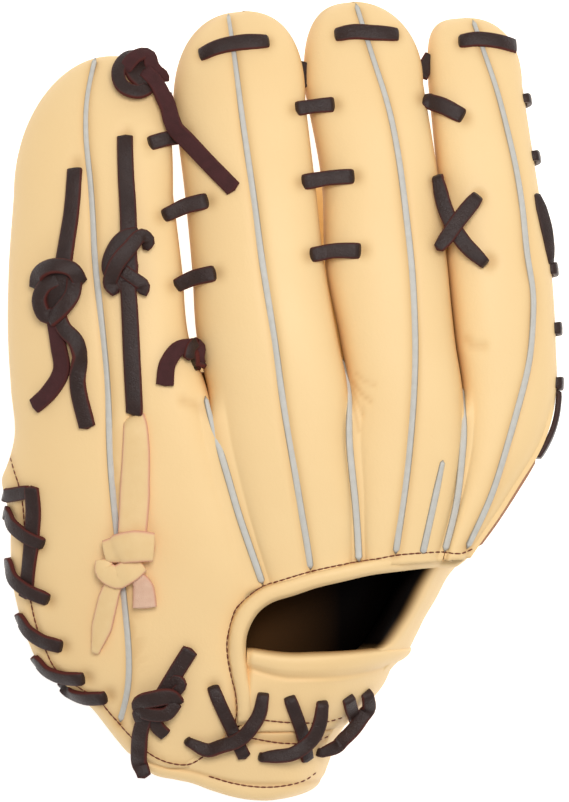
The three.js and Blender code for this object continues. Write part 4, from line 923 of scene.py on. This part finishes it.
def softened(values, times):
    """Values or points averaged with their neighbours again and again, with the two ends kept"""
    for _ in range(times):
        inner = (values[:-2] + 2 * values[1:-1] + values[2:]) / 4
        values = np.concatenate([values[:1], inner, values[-1:]])
    return values


def draped(plan, lift=0.0, taut=0.0, step=1.5, rises=None):
    """Points and upward normals of a line laid over the back, each rise added above the leather"""
    flat = smooth_line([point[:2] for point in plan], step)
    touched = [touch(x, y) for x, y in flat]
    runs = np.concatenate([[0], np.cumsum(np.linalg.norm(np.diff(flat, axis=0), axis=1))])
    known = [at for at, (height, _) in enumerate(touched) if height is not None]
    heights = np.interp(runs, runs[known], [touched[at][0] for at in known])
    heights = softened(taut_over(runs, heights, taut), 3)
    normals = np.array([np.array(normal) if touched[at][0] is not None else (0, 0, 1)
                        for at, (_, normal) in enumerate(touched)], float)
    normals = softened(normals, 8)
    normals = normals * (1 - 0.6 * taut) + np.array([0, 0, 0.6 * taut])
    normals /= np.linalg.norm(normals, axis=1)[:, None]
    if rises is not None:
        lift = lift + np.interp(runs, np.linspace(0, runs[-1], len(rises)), rises)
        lift = softened(np.broadcast_to(lift, runs.shape).copy(), 4)
    points = np.column_stack([flat, heights]) + normals * np.reshape(lift, (-1, 1))
    return points, normals


def add_strip(shape, points, normals, width, thickness, taper=(1, 1), crown=0.12, square=5.5, twist=0.0,
              raw=1.0):
    """Add a strip of leather along a line, with rounded edges, closed ends and cut sides marked as edge"""
    points, normals = np.array(points, float), np.array(normals, float)
    tangents = np.gradient(points, axis=0)
    tangents /= np.linalg.norm(tangents, axis=1)[:, None]
    across = np.cross(tangents, normals)
    across /= np.maximum(np.linalg.norm(across, axis=1), 1e-6)[:, None]
    up = np.cross(across, tangents)
    share = np.linspace(0, 1, len(points))
    turn = np.radians(np.interp(share, np.linspace(0, 1, np.size(twist)), np.atleast_1d(twist)))
    across, up = (across * np.cos(turn)[:, None] + up * np.sin(turn)[:, None],
                  up * np.cos(turn)[:, None] - across * np.sin(turn)[:, None])
    widths = np.interp(share, np.linspace(0, 1, np.size(width)), np.atleast_1d(width))
    for end, from_end in zip(taper, (share, 1 - share)):
        widths = widths * (end + (1 - end) * smoothstep(from_end, 0, END_SHARE))
    rows = len(points) - 1

    def place(around, along):
        at = along * rows
        low = np.clip(at.astype(int), 0, rows - 1)
        mix = (at - low)[:, None]
        blend = [rows_of[low] * (1 - mix) + rows_of[low + 1] * mix for rows_of in (points, across, up)]
        half = (widths[low] * (1 - mix[:, 0]) + widths[low + 1] * mix[:, 0]) / 2
        angle = around * 2 * np.pi
        cos, sin = np.cos(angle), np.sin(angle)
        side = np.sign(cos) * np.abs(cos) ** (2 / square)
        rise = np.sign(sin) * np.abs(sin) ** (2 / square) * (1 + crown * (1 - side ** 2))
        closed = np.where((along <= 0) | (along >= 1), ENDS_SHUT, 1)
        points_here = (blend[0] + blend[1] * (side * half * closed)[:, None]
                       + blend[2] * (rise * thickness / 2 * closed)[:, None])
        edge = np.clip(smoothstep(np.abs(side), 0.8, 0.97) + (rise < -0.3), 0, 1) * raw
        edge = np.maximum(edge, ((along < 0.4 / rows) | (along > 1 - 0.4 / rows)) * raw)
        return points_here, {"edge": edge, "hollow": 0 * edge}

    add_grid(shape, 16, rows * 2 if rows < 20 else rows, place, weld=0.06)


def split_leather(name, base, raw_colour, roughness, grain_mm, bump_mm):
    """Strip leather: a mottled grain face, and rougher fibrous sides where it is cut"""
    material, tree, shader = new_material(name)
    place = add_node(tree, "ShaderNodeTexCoord").outputs["Object"]
    edge = add_node(tree, "ShaderNodeAttribute", attribute_name="edge").outputs["Fac"]
    mottle = add_node(tree, "ShaderNodeTexNoise", {"Vector": place, "Scale": 1 / (grain_mm * 6 * MM),
                                                   "Detail": 4})
    face = add_node(tree, "ShaderNodeMix", {0: mottle.outputs["Fac"], 6: linear(base[0]), 7: linear(base[1])},
                    data_type="RGBA")
    colour = add_node(tree, "ShaderNodeMix", {0: edge, 6: face.outputs[2], 7: linear(raw_colour)},
                      data_type="RGBA")
    fibre = add_node(tree, "ShaderNodeTexNoise", {"Vector": place, "Scale": 1 / (grain_mm * MM), "Detail": 5,
                                                  "Roughness": 0.65})
    bump = add_node(tree, "ShaderNodeBump", {"Height": fibre.outputs["Fac"], "Distance": bump_mm * MM,
                                             "Strength": 0.8})
    gloss = add_node(tree, "ShaderNodeMapRange", {"Value": edge, "To Min": roughness, "To Max": 0.9})
    tree.links.new(colour.outputs[2], shader.inputs["Base Color"])
    tree.links.new(bump.outputs["Normal"], shader.inputs["Normal"])
    tree.links.new(gloss.outputs[0], shader.inputs["Roughness"])
    shader.inputs["Specular IOR Level"].default_value = 0.3
    return material


# Metallic painted split leather: a cool silver grey with a soft gleam, and brownish where it is cut
silver = split_leather("silver_split_leather", ("#D3D0C8", "#BEBBB2"), "#8F8778", 0.45, 0.5, 0.25)
for name, line in WELT_LINES.items():
    shape = bmesh.new()
    lift = WELT["lift"] + WELT["seam_lift"] * (name in SEAMS_BETWEEN_STALLS)
    points, normals = draped(line, lift=lift, step=WELT["step"])
    widths = (WELT["start_width"], WELT["width"], WELT["width"], WELT["width"])
    add_strip(shape, softened(points, 12), softened(normals, 40), widths, WELT["thickness"], square=2.6,
              raw=0.8)
    finish_mesh(f"{name}_strip", shape, [silver], nodes=[name])

# Cut edge of the index stall
# Below the web laces the hide of the index stall ends in a bare cut edge, left pink and unpainted. It runs
# down the side of the glove to the binding of the opening.
CUT_EDGE = {"top": -24, "bottom": -60, "rows": 26, "width": 2.2, "thickness": 1, "outside_x": 160,
            "heights": (62, 98), "facing": (0.5, -0.2, 0.84), "off_skin": (0.35, -0.1, 1.2)}
# Bare cut hide, which shows its undyed fibres: a dull pinkish brown beside the pale grain
cut_hide = split_leather("bare_cut_hide", ("#D2A283", "#B98468"), "#A8705A", 0.8, 0.3, 0.3)


def side_edge(y):
    """Outermost point of the glove's right side at one height of the plan"""
    hits = [skin.ray_cast(Vector((CUT_EDGE["outside_x"], y, z)), Vector((-1, 0, 0)))[0]
            for z in range(*CUT_EDGE["heights"], 2)]
    return max((hit for hit in hits if hit is not None), key=lambda hit: hit.x)


points = np.array([side_edge(y) for y in np.linspace(CUT_EDGE["top"], CUT_EDGE["bottom"], CUT_EDGE["rows"])])
points = softened(points, 5) + np.array(CUT_EDGE["off_skin"])
normals = np.tile(CUT_EDGE["facing"], (len(points), 1))
shape = bmesh.new()
add_strip(shape, points, normals, CUT_EDGE["width"], CUT_EDGE["thickness"], taper=(0.6, 0.8))
finish_mesh("index_cut_edge", shape, [cut_hide])

# Laces across the stalls
# Quarter inch laces of dark brown latigo, oiled on the grain side and reddish suede where they are cut. Each
# comes up through a hole, runs tautly over the gap between two stalls and goes down through the next hole.
LACE = {"width": 6.2, "thickness": 2.3, "lift": 1.3, "step": 1.2}
CROSS_LACES = {
    "ring_tip_lace": {"plan": ((-33.2, 142.7), (-27, 145.2), (-18, 147), (-7.4, 147.6)),
                      "width": (5.6, 6.3, 6.6, 5.8)},
    "middle_tip_lace": {"plan": ((22.6, 150.8), (28, 151.6), (38, 151.2), (46, 150.8)),
                        "width": (5.8, 6.4, 6.4, 5.6)},
    "index_tip_lace": {"plan": ((73.8, 148.2), (79, 149), (88, 148.2), (94.8, 146.6)),
                       "width": (5.8, 6.2, 6, 6.4)},
    "pinky_ring_lace_1": {"plan": ((-54, 106), (-48, 107.6), (-41, 108.8)), "width": LACE["width"],
                          "behind": ((-49.4, 127), (-46.8, 120), (-45, 111))},
    "pinky_ring_lace_2": {"plan": ((-48.2, 76.2), (-41, 79.4), (-32.2, 81.6)), "width": (5.6, 6.6, 7)},
    "pinky_ring_lace_3": {"plan": ((-43.4, 47.7), (-36, 50.4), (-29, 51.8)), "width": (5.6, 6.6, 7)},
    "ring_middle_lace_1": {"plan": ((6.4, 119.9), (13, 120.9), (19.4, 121.5)), "width": (6.4, 5.8, 6.8),
                           "behind": ((8.8, 140), (7.6, 135), (7.4, 129))},
    "ring_middle_lace_2": {"plan": ((9, 89.5), (18, 91), (27.4, 91.7)), "width": (7, 6.2, 6.6)},
    "ring_middle_lace_3": {"plan": ((12.2, 59.6), (21, 61.2), (30, 61.3)), "width": (6.4, 6.2, 7)},
    "middle_index_lace": {"plan": ((58.2, 123.6), (64, 122), (72.6, 117.4)), "width": (6.4, 7, 6.4),
                          "behind": ((61.4, 143), (58.8, 138.4), (56.4, 133.6))},
}
BEHIND = {"depth": 11, "facing": (0.3, 0.2, 1.0)}
INDEX_CROSS = [
    {"plan": ((63, 91), (66.4, 77.6), (73.6, 64.6), (81.6, 56.8)), "lift": 1.2, "width": (5.6, 6.4, 6.6, 6),
     "ends_in_hide": (True, True)},
    {"plan": ((78.8, 83), (71.6, 74), (65.4, 65.2), (62.4, 61.4)), "lift": 2.9, "width": (6, 6.6, 6.4, 6),
     "ends_in_hide": (True, False)},
]
SLIT = {"x": 63.0, "reach": 9.0, "aside": 5.0, "lean": 0.3}
DIVE = {"ahead": (0.4, 0.5, 0.2), "down": (0.9, 2.6, 4.6)}


def dived(points, normals, ends=(True, True)):
    """The line with its wanted ends turned down through their holes"""
    for end, wanted in ((0, ends[0]), (-1, ends[1])):
        if not wanted:
            continue
        inner = points[2] if end == 0 else points[-3]
        away = points[end] - inner
        away = away / np.linalg.norm(away)
        extra = [points[end] + away * ahead - normals[end] * down for ahead, down in zip(*DIVE.values())]
        turned = np.array([normals[end] * share + away * (1 - share) for share in (0.7, 0.35, 0.15)])
        if end == 0:
            points, normals = np.vstack([extra[::-1], points]), np.vstack([turned[::-1], normals])
        else:
            points, normals = np.vstack([points, extra]), np.vstack([normals, turned])
    return points, normals


# Oiled latigo, hot stuffed with wax: blackish brown with a low gloss, and oxblood red where it is cut
dark_lace = split_leather("dark_oiled_lace", ("#3B2823", "#281A17"), "#58241D", 0.36, 0.8, 0.42)
for name, row in CROSS_LACES.items():
    shape = bmesh.new()
    points, normals = draped(row["plan"], lift=LACE["lift"], taut=0.85, step=LACE["step"], rises=(0, 0.5, 0))
    add_strip(shape, *dived(points, normals), row["width"], LACE["thickness"], taper=(0.86, 0.86))
    if "behind" in row:
        # The same lace on its way back, deep in the gap
        low = [(x, y, deck(x, y) - BEHIND["depth"]) for x, y in smooth_line(row["behind"], LACE["step"])]
        add_strip(shape, low, np.tile(BEHIND["facing"], (len(low), 1)), LACE["width"], LACE["thickness"])
    finish_mesh(f"{name}_strip", shape, [dark_lace], nodes=[name])

# Two laces cross at the slit beside the index stall, where the height is read a little aside from the slit
shape = bmesh.new()
for row in INDEX_CROSS:
    line = smooth_line(row["plan"], LACE["step"])
    beside = np.clip(1.0 - (line[:, 0] - SLIT["x"]) / SLIT["reach"], 0.0, 1.0)
    points = np.array([(x, y, deck(x + SLIT["aside"] * near, y) + row["lift"])
                       for (x, y), near in zip(line, beside)])
    normals = np.column_stack([-SLIT["lean"] * beside, 0.0 * beside, np.ones(len(line))])
    points, normals = dived(points, normals, row["ends_in_hide"])
    add_strip(shape, points, normals, row["width"], LACE["thickness"], taper=(0.72, 0.72))
finish_mesh("index_cross_lace_strips", shape, [dark_lace], nodes=["index_cross_lace"])

# Knots of the lacing
# Where a lace ends it is tied off on the back: its end is wrapped round it and pulled tight, and the cut ends
# hang down the stall, some with their suede side up. Each row is a visible stretch of strand, with its plan
# and, spread evenly along it, its rises above the leather, its widths and its twist.
KNOTS = {
    "pinky_knot": [
        {"plan": ((-85.3, 95.8), (-86.2, 80), (-87.6, 66), (-89, 52)), "rises": (0.2, 0, 0.4, 2, 3.4),
         "width": (6.2, 6.4, 6.8, 7.4)},
        {"plan": ((-90.6, 55), (-91, 44), (-91.2, 34.6)), "rises": (3.4, 2.8, 1.6), "width": (11, 12, 7)},
        {"plan": ((-90, 50), (-95.4, 46.6), (-97.6, 40.4), (-95, 34.6), (-91.4, 35.4)),
         "rises": (3, 4, 4, 3.4, 2.4), "width": 6.4},
        {"plan": ((-84.2, 50), (-84.6, 43), (-88, 37.6), (-93.8, 32.6)),
         "rises": (2.6, 5, 5.4, 3), "width": 6.6, "twist": (18, 10, -10, -20)},
        {"plan": ((-99.8, 45.4), (-97.4, 51.6), (-90.4, 54.6), (-84.2, 53), (-81.8, 47)),
         "rises": (1.4, 5.2, 7, 6, 1.6), "width": 6.4, "twist": (-20, 12, 18, 12, 25)},
        {"plan": ((-93, 36), (-91.4, 23), (-90.2, 13), (-95.6, 3.4), (-102, -2.6)),
         "rises": (2.6, 0.8, 0.3, 0.2, 0.6), "width": (6, 6.6, 7.2, 7.2, 6.6), "raw_face": True},
        {"plan": ((-91, 36), (-88.4, 29.4), (-84, 24.4), (-82.6, 20), (-83.6, 8.3), (-79.6, -11.4)),
         "rises": (2.6, 2, 1.8, 0.6, 0.3, 0.4), "width": (6, 6.6, 6.8, 6.8, 7, 7),
         "twist": (0, 10, 55, 0, 0, 0)},
    ],
    "middle_knot": [
        {"plan": ((-65, 108.6), (-64.4, 92), (-63.2, 74), (-62.8, 62)), "rises": (0.2, 0, 0.4, 2.2, 3.4),
         "width": (6.6, 6.8, 7, 7)},
        {"plan": ((-63.6, 64), (-64.4, 55), (-63, 45)), "rises": (2, 2.6, 1.8), "width": (8, 11.5, 8)},
        {"plan": ((-58.4, 67.6), (-64.6, 66), (-69, 60), (-70.2, 53), (-66.6, 48)),
         "rises": (3, 4, 4, 3.6, 2.4), "width": 6},
        {"plan": ((-65, 53), (-60.4, 49.4), (-57, 46.4), (-58.4, 43.4)),
         "rises": (3.6, 4, 3, 1.6), "width": 5.4},
        {"plan": ((-57.6, 61.4), (-55.2, 64.4), (-57.4, 66.6), (-62.6, 61), (-68, 53), (-69.8, 47),
                  (-66.6, 44)),
         "rises": (1.8, 4.4, 6.2, 7, 6.2, 3.6, 1.8), "width": (4, 5, 6.2, 6.8, 6.6, 6, 5.4),
         "twist": (0, 10, 16, 14, 14, 10)},
        {"plan": ((-63.4, 50), (-62.8, 42), (-61.8, 20), (-61, 5), (-60.3, -5.8)),
         "rises": (2.4, 1.2, 0.2, 0, 0.3), "width": (6.6, 7, 7.2, 7.2, 7)},
    ],
    "heel_knot": [
        {"plan": ((-37.6, -101), (-42.6, -109), (-48.6, -119), (-52.4, -125)), "rises": (0.6, 0.8, 1.6, 2.4),
         "width": 6.8},
        {"plan": ((-44.6, -119.6), (-41.6, -115.4), (-43.4, -113.6), (-46.4, -118)),
         "rises": (2, 2.2, 1.6, 1.4), "width": 4.6},
        {"plan": ((-57.6, -128), (-58.4, -123.4), (-52, -120.6), (-45, -120.4), (-42.6, -124.4)),
         "rises": (1.8, 4.2, 5.4, 4.8, 2), "width": (6, 6.6, 7, 6.8, 6)},
        {"plan": ((-43.4, -122.4), (-47, -127), (-53.4, -127.4), (-58.4, -126.6), (-57.6, -131)),
         "rises": (3, 4.4, 4.4, 3.6, 2), "width": 5.8},
        {"plan": ((-55.6, -127), (-57.8, -134), (-59, -144), (-58.8, -151), (-57.4, -156.4)),
         "rises": (2.6, 1.8, 0.8, 1.2, 3), "width": (6, 6.6, 7, 6.8, 5.6)},
        {"plan": ((-53, -128), (-51.6, -133.6), (-48, -137.6)), "rises": (2, 1.4, 0.6), "width": (5, 6, 5.4)},
    ],
    "tip_knot": [
        {"plan": ((-63, 136.4), (-59.6, 132), (-56.6, 127.6)), "rises": (3, 3.6, 3), "width": (9, 11, 8)},
        {"plan": ((-57.6, 138.4), (-64, 138.6), (-67.4, 133), (-65.6, 126.8), (-59.6, 124.8), (-55.8, 127.4)),
         "rises": (2.6, 4, 4.4, 4.4, 4.2, 3), "width": 5.8},
        {"plan": ((-65.6, 133), (-61.6, 137.4), (-56.2, 138.2), (-52.2, 134.6), (-52.6, 129)),
         "rises": (3.4, 6.2, 6.8, 6, 3.4), "width": 6, "raw_face": True},
        {"plan": ((-58.6, 134.6), (-54.6, 130.6), (-48.4, 119), (-34.2, 101.4), (-19.6, 85.8)),
         "rises": (5, 3, 1.2, 0.3, 0.2), "width": (6, 7, 7.2, 7, 7), "raw_face": True, "taut": 0.85},
    ],
    "crotch_knot": [
        {"plan": ((-38.6, 21.4), (-36.4, 18.4), (-35, 15.6)), "rises": (2.4, 3.4, 2.4), "width": (6, 8, 6)},
        {"plan": ((-40.6, 15.6), (-40.6, 21), (-36.4, 23.4), (-32.4, 20.6), (-32.4, 16), (-36.6, 13.6)),
         "rises": (2.4, 3.6, 4.4, 4, 3.6, 2.4), "width": 4.8},
        {"plan": ((-39.6, 22.4), (-36, 19.6), (-34, 15)), "rises": (3.4, 5.4, 3), "width": 5,
         "raw_face": True},
        {"plan": ((-38, 21.4), (-43.4, 21.2), (-47.2, 16), (-48.5, 6)), "rises": (3.4, 1.8, 0.9, 0.6),
         "width": (5.4, 6.6, 7, 7.4), "raw_face": True},
    ],
}
KNOT_STRAND = {"lift": 1.25, "taut": 0.1, "step": 1.1, "thickness": LACE["thickness"], "crown": 0.2,
               "square": 5.5}


def add_strand(shape, strand, kind):
    """Add one stretch of a tied strand, with the second material where its flesh side is up"""
    before = len(shape.faces)
    points, normals = draped(strand["plan"], lift=kind["lift"], taut=strand.get("taut", kind["taut"]),
                             step=kind["step"], rises=strand["rises"])
    points, normals = dived(points, normals, (strand.get("out_of_hole", False), False))
    add_strip(shape, points, normals, strand["width"], kind["thickness"], crown=kind["crown"],
              square=kind["square"], twist=strand.get("twist", 0.0))
    shape.faces.ensure_lookup_table()
    for face in shape.faces[before:]:
        face.material_index = int(strand.get("raw_face", False))


# Flesh side of the same latigo: a matt, brushed oxblood suede
red_suede = split_leather("red_suede_lace", ("#50292A", "#3A1F1D"), "#552824", 0.85, 0.6, 0.4)
for name, strands in KNOTS.items():
    shape = bmesh.new()
    for strand in strands:
        add_strand(shape, strand, KNOT_STRAND)
    finish_mesh(f"{name}_strips", shape, [dark_lace, red_suede], nodes=[name])

# Loop strap of the small finger
# A flat strap of the blond hide comes out of a slot, is tied in one flat knot and hangs down in a wide end
# and a short flap that shows its raw, pinkish flesh side. Its cut sides are pinkish too.
LOOP_STRANDS = [
    {"plan": ((-60.4, -7), (-60, -18), (-60.4, -36), (-61.2, -55)), "rises": (0, 0.2, 0.8, 2.6),
     "width": (9, 11.5, 12.6, 12), "out_of_hole": True},
    {"plan": ((-73, -61), (-66, -59.4), (-58, -58.2), (-51.4, -58.6)), "rises": (2.4, 5.4, 6.2, 4.4),
     "width": (9, 12.6, 13.4, 12)},
    {"plan": ((-57.4, -65), (-62, -68.6), (-68.4, -71), (-72.4, -68.4), (-72.8, -64)),
     "rises": (2.6, 4.2, 4.6, 3.8, 2), "width": (8, 9.6, 10, 9, 7)},
    {"plan": ((-62, -69), (-57.8, -74), (-56.2, -84.6)), "rises": (1.4, 1.4, 2), "width": (4, 9, 10.4),
     "raw_face": True},
    {"plan": ((-68, -70), (-70.6, -78), (-73.6, -90), (-77.2, -104)), "rises": (2.6, 1.2, 0.5, 0.4),
     "width": (6, 8.6, 8.8, 3)},
]
LOOP_STRAND = {"lift": 1.3, "taut": 0.1, "step": 1.2, "thickness": 1.9, "crown": 0.5, "square": 4}
# The blond steerhide cut thin: pale straw with hardly any grain, and pinkish where it is cut
loop_hide = split_leather("blond_loop_hide", ("#F0D09A", "#E8C38A"), "#DDA588", 0.55, 0.9, 0.1)
# Its flesh side: a pale pink, quite matt suede
pink_suede = split_leather("pink_suede", ("#ECC8AE", "#DDB093"), "#DDA588", 0.95, 0.5, 0.5)
shape = bmesh.new()
for strand in LOOP_STRANDS:
    add_strand(shape, strand, LOOP_STRAND)
finish_mesh("pinky_loop_strap", shape, [loop_hide, pink_suede], nodes=["pinky_loop"])

# Whip lacing of the heel's left edge
# One lace runs over the edge again and again. Its first turn bends down into a straight run on the back, and
# the next two turns cross over that run.
EDGE_LACES = {
    "edge_lace_1": {"plan": ((-113.4, -38.8), (-109, -38), (-103.6, -37)), "lift": 1.3},
    "edge_lace_2": {"plan": ((-112.8, -46.2), (-110.2, -51), (-105.4, -55), (-99.6, -58.2)), "lift": 3.2},
    "edge_lace_3": {"plan": ((-112.6, -68), (-110.4, -73), (-105.6, -77.2), (-98, -81.4)), "lift": 3},
    "edge_lace_4": {"plan": ((-108.2, -90.6), (-105.4, -95), (-100.4, -98.6), (-92.8, -101)), "lift": 1.3},
    "edge_lace_5": {"plan": ((-101.4, -107.8), (-98, -111.4), (-92.6, -113.8), (-83.8, -114.6)), "lift": 1.3},
    "edge_lace_6": {"plan": ((-91, -118.6), (-87, -121.2), (-82, -122.6), (-74.6, -122.4)), "lift": 1.3},
}
EDGE_RUN = {"lace": "edge_lace_1", "width": (6.4, 6.8, 6.4, 6.2),
            "plan": ((-103.4, -34.6), (-102.6, -44), (-103.6, -58), (-104.8, -70), (-106.4, -82))}
EDGE_WIDTH = 6
OVER_RUN = {"lift": 2, "rises": (-1.4, 0, 0, -2)}
HAND = (-40, -60)
RIM = {
    "ahead": (-5, -0.6, 0.9, 0.9, 0.4),
    "down": (15.5, 12.6, 8, 4.2, 1.6),
    "facing_out": (0.3, 0.8, 1, 0.9, 0.6),
    "facing_up": (-1, -0.5, 0, 0.3, 0.7),
}
for name, row in EDGE_LACES.items():
    shape = bmesh.new()
    points, normals = draped(row["plan"], lift=row["lift"], taut=0.3, step=LACE["step"],
                             rises=(0, 0, 0) if row["lift"] < OVER_RUN["lift"] else OVER_RUN["rises"])
    # Each turn starts below the rim and comes up round it, away from the middle of the hand
    outward = np.array([points[0][0] - HAND[0], points[0][1] - HAND[1], 0])
    outward /= np.linalg.norm(outward)
    rim = [points[0] + outward * ahead - (0, 0, down) for ahead, down in zip(RIM["ahead"], RIM["down"])]
    rim_normals = [outward * out + (0, 0, up) for out, up in zip(RIM["facing_out"], RIM["facing_up"])]
    points, normals = np.vstack([rim, points]), np.vstack([rim_normals, normals])
    points, normals = dived(points, normals, (False, name != EDGE_RUN["lace"]))
    add_strip(shape, points, normals, EDGE_WIDTH, LACE["thickness"], taper=(1, 0.86))
    if name == EDGE_RUN["lace"]:
        points, normals = draped(EDGE_RUN["plan"], lift=1.2, taut=0.6, step=LACE["step"])
        add_strip(shape, points, normals, EDGE_RUN["width"], LACE["thickness"])
    finish_mesh(f"{name}_strip", shape, [dark_lace], nodes=[name])

# Crossed laces of the wrist strap
# Three short laces hold the strap to the heel band: an under strand comes out of the strap and ends below it,
# and an over strand crosses it in a bow, turned so that its reddish lower edge shows.
UNDER = {"rises": (0, 0.3, 0), "width": 5.6, "taper": (0.86, 1), "twist": 0.0, "ends_in_hide": (True, False)}
OVER = {"rises": (-1.6, 0.6, 0.8, -1.4), "width": (5.6, 6.2, 6, 5.4), "taper": (0.86, 0.6),
        "twist": (-4, -14, -20, -26), "ends_in_hide": (True, True)}
STRAP_LACES = {
    "strap_lace_1": [
        {"plan": ((-28.8, -118.6), (-25.6, -126), (-21.6, -135), (-15.6, -147.6)), "lift": 1.3, **UNDER},
        {"plan": ((-8.4, -121.4), (-9.8, -128), (-14.4, -135), (-21.9, -141), (-30, -143.6), (-39, -140.4)),
         "lift": 3.2, **OVER},
    ],
    "strap_lace_2": [
        {"plan": ((2.8, -122.8), (5, -129), (7.6, -138), (9.4, -149.4)), "lift": 1.3, **UNDER},
        {"plan": ((15.6, -124.8), (14.2, -131), (10.2, -138.4), (3.6, -144.6), (-8.8, -146.6)),
         "lift": 3.2, **OVER},
    ],
    "strap_lace_3": [
        {"plan": ((26.6, -123.2), (27.4, -127), (29, -131), (30.6, -135)), "lift": 1.3, **UNDER},
        {"plan": ((34, -121.4), (34.2, -127), (31, -134), (24.6, -140.8), (14.6, -145.6)),
         "lift": 3.4, **OVER},
    ],
}
for name, strands in STRAP_LACES.items():
    shape = bmesh.new()
    for strand in strands:
        points, normals = draped(strand["plan"], lift=strand["lift"], taut=0.6, step=LACE["step"],
                                 rises=strand["rises"])
        points, normals = dived(points, normals, strand["ends_in_hide"])
        add_strip(shape, points, normals, strand["width"], LACE["thickness"], taper=strand["taper"],
                  square=4.4, twist=strand["twist"])
    finish_mesh(f"{name}_strips", shape, [dark_lace], nodes=[name])

# Laces of the web along the index stall
# Short turns of the same lace come over the right side of the index stall, where the web is laced to it. The
# third and the last lie lengthwise against the side, the others go down out of sight.
WEB_LACES = {
    "web_lace_1": {"y": (125, 123), "angle": (80, 130), "width": 4.4},
    "web_lace_2": {"y": (101, 99), "angle": (80, 130), "width": 5},
    "web_lace_3": {"y": (84, 57.5), "angle": (64, 74), "width": (2, 5.4, 6, 5, 2), "lift": 0.4,
                   "face_up": 0.9},
    "web_lace_4": {"y": (54.5, 53), "angle": (80, 130), "width": 5.6},
    "web_lace_5": {"y": (30, 29), "angle": (80, 130), "width": 5.6},
    "web_lace_6": {"y": (7.5, 6.5), "angle": (78, 130), "width": 5.6},
    "web_lace_7": {"y": (3, -22), "angle": (86, 74), "width": 6},
}
WEB_LACE_ROWS = 22
WEB_LACE_BOW = 0.8


def side_line(stall, y_ends, angle_ends, lift):
    """Points and outward normals of a lace along the side of a stall, bowed a little off it"""
    steps = np.linspace(0, 1, WEB_LACE_ROWS)
    y = y_ends[0] + (y_ends[1] - y_ends[0]) * steps
    angle = angle_ends[0] + (angle_ends[1] - angle_ends[0]) * steps
    points = stall_surface(stall, angle, y)
    beside, ahead = stall_surface(stall, angle + 2, y), stall_surface(stall, angle, y + 0.5)
    normals = np.cross(ahead - points, beside - points)
    normals /= np.linalg.norm(normals, axis=1)[:, None]
    normals *= np.where(normals[:, :1] < 0, -1, 1)
    return points + normals * (lift + WEB_LACE_BOW * np.sin(np.pi * steps))[:, None], normals


for name, row in WEB_LACES.items():
    shape = bmesh.new()
    points, normals = side_line(STALLS["index"], row["y"], row["angle"], row.get("lift", LACE["lift"]))
    normals += np.array([0, 0, row.get("face_up", 0)])
    points, normals = dived(points, normals)
    add_strip(shape, points, normals, row["width"], LACE["thickness"], taper=(0.8, 0.8), raw=0.15)
    finish_mesh(f"{name}_strip", shape, [dark_lace], nodes=[name])

# Stitching
# Waxed reddish brown thread in short stitches, sunk a little into the hide: along the outside of the binding,
# the heel's left seam, the strap's lower edge and the two seams of the heel band.
STITCH = {"pitch": 2.7, "length": 3.2, "thread": 0.74, "lift": 0.08, "steps": 4}
BINDING_STITCHES = {
    "x": (77.7, 73.6, 64.2, 55.1, 46.4, 35.9, 22.5, 11.3, 0.2, -8.6, -15.3, -19.3, -21.9, -23.2, -22.3, -19.6,
          -19.2, -20.6),
    "y": (-60.7, -62.3, -61.9, -62.3, -63.1, -65, -67.2, -69.7, -73, -76.1, -81, -84.9, -92.1, -98.4, -110,
          -120.7, -129, -133.6),
}
STITCH_LINES = [
    tuple(zip(BINDING_STITCHES["x"], BINDING_STITCHES["y"])),
    HEEL_SEAM,
    ((-8.1, -131.4), (0.1, -132.3), (8, -132.8), (17.7, -132.8), (25.4, -131.2)),
    ((-13.1, -139.1), (0.1, -141.3), (12.1, -141.3), (21, -138.6)),
    ((-31, -155.2), (-21.9, -157.9), (-10.9, -159.6), (0.1, -159.2), (9.4, -157), (15.6, -153)),
]
# Waxed polyester thread, reddish brown and slightly dull, so that it reads as a fine dark seam
thread, _, thread_shader = new_material("waxed_red_thread")
thread_shader.inputs["Base Color"].default_value = linear("#6E2A14")
thread_shader.inputs["Roughness"].default_value = 0.6
shape = bmesh.new()
for line in STITCH_LINES:
    points, _ = draped(line, lift=STITCH["lift"], step=STITCH["pitch"] / STITCH["steps"])
    for at in range(2, len(points) - 2, STITCH["steps"]):
        along = Vector(points[at + 1] - points[at - 1]).normalized()
        turned = along.to_track_quat("X", "Z").to_matrix().to_4x4()
        turned.translation = Vector(points[at]) * MM
        made = bmesh.ops.create_icosphere(shape, subdivisions=1, radius=STITCH["thread"] / 2 * MM)["verts"]
        for vert in made:
            vert.co.x *= STITCH["length"] / STITCH["thread"]
        bmesh.ops.transform(shape, matrix=turned, verts=made)
finish_mesh("seam_stitches", shape, [thread])
